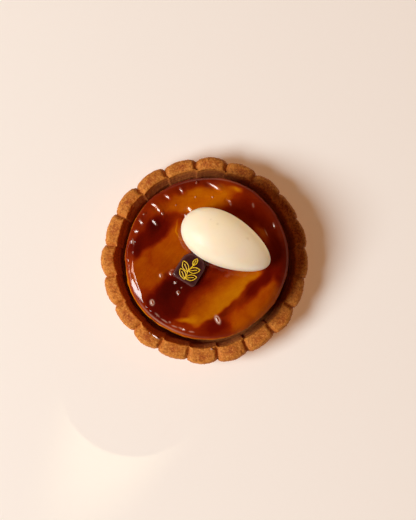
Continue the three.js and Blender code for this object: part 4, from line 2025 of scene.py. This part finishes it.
    def sprig(self) -> bpy.types.Object:
        """The printed sprig: a curved stem with pairs of leaves, in raised lines.

        Returns:
            The print.
        """
        lines = [np.array([(0.25 * math.sin(1.1 * t), t) for t in np.linspace(-5.1, 1.3, 16)])]
        for place, length in ((-4.3, 4.3), (-1.4, 4.4)):
            stem = 0.25 * math.sin(1.1 * place)
            for base, heading in ((place, 36), (place - 0.4, 144)):
                lines += [self._leaf(stem, base, heading, length), self._rib(stem, base, heading, length)]
        lines += [self._leaf(0.15, 1.3, 88, 3.0), self._rib(0.15, 1.3, 88, 3.0)]
        curve = bpy.data.curves.new("sprig_lines", "CURVE")
        curve.dimensions = "3D"
        for line in lines:
            spline = curve.splines.new("POLY")
            spline.points.add(len(line) - 1)
            laid = self._laid(np.column_stack([line, np.full(len(line), self.thickness)])) * MM
            spline.points.foreach_set("co", np.column_stack([laid, np.ones(len(laid))]).ravel())
        tree = ShapeTree("raised_lines")
        half = tree.size("Half width", self.line * MM)
        profile = tree.fed("GeometryNodeCurvePrimitiveCircle", {"Resolution": 8, "Radius": half})
        inputs = {"Curve": tree.shape, "Profile Curve": profile, "Fill Caps": True}
        tree.finish(tree.fed("GeometryNodeCurveToMesh", inputs), self.gold.build())
        return tree.made(placed("sprig_host", curve), "gold_sprig")

    def build(self) -> list[bpy.types.Object]:
        """Builds the tablet and its print, hides the frame's tablet and hangs them on the body.

        Returns:
            The finished pieces.
        """
        bar, sprig = self.body(), self.sprig()
        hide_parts(Solid.TABLET.value)
        for piece in (bar, sprig):
            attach(piece, BODY)
        return [bar, sprig]


# ---- Studio ----------------------------------------------------------------------------------


@dataclass(frozen=True)
class Lamp:
    """A flat light: where it hangs and how large it looks from the tart, in degrees, and its light."""

    name: str
    shape: LampShape
    bearing: float
    elevation: float
    width: float
    height: float
    power: float
    colour: tuple


@dataclass
class Studio:
    """The pale floor, the soft light from the left, the warm room, and the camera above."""

    floor_size: float = 4.0
    light_distance: float = 2.0
    softbox: Lamp = Lamp("softbox", LampShape.OVAL, 251, 44, 29, 24, power=44, colour=(0.972, 1.02, 1.0))
    card: Lamp = Lamp("pale_card", LampShape.OBLONG, 272, 23, 36, 9, power=16, colour=(1.0, 0.74, 0.6))
    room_colour: tuple = (0.13, 0.065, 0.035, 1.0)
    far_wall_colour: tuple = (0.9, 0.72, 0.62, 1.0)
    far_wall_fall: float = 3.0
    lens: float = 130.6
    camera_distance: float = 727
    camera_tilt: float = 5.3
    camera_bearing: float = 216
    aim: tuple[float, float, float] = (0.94, -0.09, 13)
    spot_bearing: float = 30
    spot_elevation: float = 25
    spot_cone: float = 1.35
    spot_softness: float = 0.6
    spot_radius: float = 0.008
    spot_power: float = 62
    spot_colour: tuple = (1.0, 0.9, 0.56)
    spot_aim: tuple[float, float, float] = (9, 8, 33)

    def floor(self) -> None:
        """Lays the floor under the tart."""
        half = self.floor_size / 2
        corners = [(-half, -half, 0), (half, -half, 0), (half, half, 0), (-half, half, 0)]
        mesh = bpy.data.meshes.new("floor")
        mesh.from_pydata(corners, [], [(0, 1, 2, 3)])
        mesh.materials.append(FloorFinish().build())
        placed("floor", mesh)

    @staticmethod
    def _towards(bearing: float, elevation: float) -> Vector:
        """Gives the direction of a light from its bearing and elevation in degrees."""
        turn, lift = math.radians(bearing), math.radians(elevation)
        return Vector((math.sin(turn) * math.cos(lift), math.cos(turn) * math.cos(lift), math.sin(lift)))

    def _hung(self, lamp: bpy.types.Light, bearing: float, elevation: float, aim: Vector) -> bpy.types.Object:
        """Hangs a light that faces a place and isn't seen by the camera.

        Args:
            lamp: The light.
            bearing: Bearing of the light from the place, in degrees.
            elevation: Elevation of the light from the place, in degrees.
            aim: The place, in metres.

        Returns:
            The light in the scene.
        """
        towards = self._towards(bearing, elevation)
        hung = placed(lamp.name, lamp)
        hung.location = aim + towards * self.light_distance
        hung.rotation_euler = towards.to_track_quat("Z", "Y").to_euler()
        hung.visible_camera = False
        return hung

    def _panel(self, lamp: Lamp) -> bpy.types.Object:
        """Hangs a flat light that faces the middle of the tart.

        Args:
            lamp: What the light is like.

        Returns:
            The light in the scene.
        """
        light = bpy.data.lights.new(lamp.name, "AREA")
        light.shape = lamp.shape.value
        light.size = 2 * self.light_distance * math.tan(math.radians(lamp.width / 2))
        light.size_y = 2 * self.light_distance * math.tan(math.radians(lamp.height / 2))
        light.energy = lamp.power
        light.color = lamp.colour
        return self._hung(light, lamp.bearing, lamp.elevation, Vector())

    def lights(self) -> None:
        """Hangs the softbox and a dim card that only shows in the glaze."""
        self._panel(self.softbox)
        card = self._panel(self.card)
        card.visible_diffuse = False
        card.visible_transmission = False

    def room(self) -> None:
        """Makes the room warm, and its far walls pale where the glaze mirrors them."""
        world = bpy.data.worlds.new("warm_room")
        bpy.context.scene.world = world
        world.use_nodes = True
        graph = Graph(world.node_tree)
        _, _, up = graph.split(graph.fed("ShaderNodeTexCoord", {}, "Generated"))
        mirrored = graph.fed("ShaderNodeLightPath", {}, "Is Glossy Ray")
        walls = (1 - up).clamped() ** self.far_wall_fall
        background = world.node_tree.nodes["Background"]
        graph.plug(graph.mixed(mirrored, self.room_colour, self.far_wall_colour), background.inputs["Color"])
        graph.plug(1 - mirrored * (1 - walls), background.inputs["Strength"])

    def spot(self) -> None:
        """Throws a little warm light on the side of the cream that the softbox leaves dark."""
        lamp = bpy.data.lights.new("cream_spot", "SPOT")
        lamp.spot_size = math.radians(self.spot_cone)
        lamp.spot_blend = self.spot_softness
        lamp.shadow_soft_size = self.spot_radius
        lamp.energy = self.spot_power
        lamp.color = self.spot_colour
        spot = self._hung(lamp, self.spot_bearing, self.spot_elevation, Vector(self.spot_aim) * MM)
        spot.visible_glossy = False

    def camera(self) -> None:
        """Sets the camera above the tart, leaning a little to the front left."""
        tilt, bearing = math.radians(self.camera_tilt), math.radians(self.camera_bearing)
        lean = math.sin(tilt)
        back = Vector((math.sin(bearing) * lean, math.cos(bearing) * lean, math.cos(tilt)))
        right = Vector((0, 1, 0)).cross(back).normalized()
        up = back.cross(right)
        lens = bpy.data.cameras.new("camera")
        lens.lens = self.lens
        lens.sensor_width = 36
        eye = placed("camera", lens)
        turn = Matrix((right, up, back)).transposed().to_4x4()
        place = (Vector(self.aim) + back * self.camera_distance) * MM
        eye.matrix_world = Matrix.Translation(place) @ turn
        bpy.context.scene.camera = eye

    def build(self) -> None:
        """Builds the whole studio."""
        self.floor()
        self.lights()
        self.room()
        self.spot()
        self.camera()
        bpy.context.scene.view_settings.view_transform = "Standard"


# ---- The tart --------------------------------------------------------------------------------


def main() -> None:
    """Builds the studio and every piece."""
    logging.basicConfig(level=logging.INFO, format="%(name)s: %(message)s")
    studio = Studio()
    studio.build()
    apple = AppleDisc()
    for maker in (Crust(), apple, CreamSpoonful(apple), ChocolateTablet(apple)):
        for piece in maker.build():
            mesh = piece.data
            mesh.calc_loop_triangles()
            LOG.info("%s: %d triangles", piece.name, len(mesh.loop_triangles))


if __name__ == "__main__":
    main()
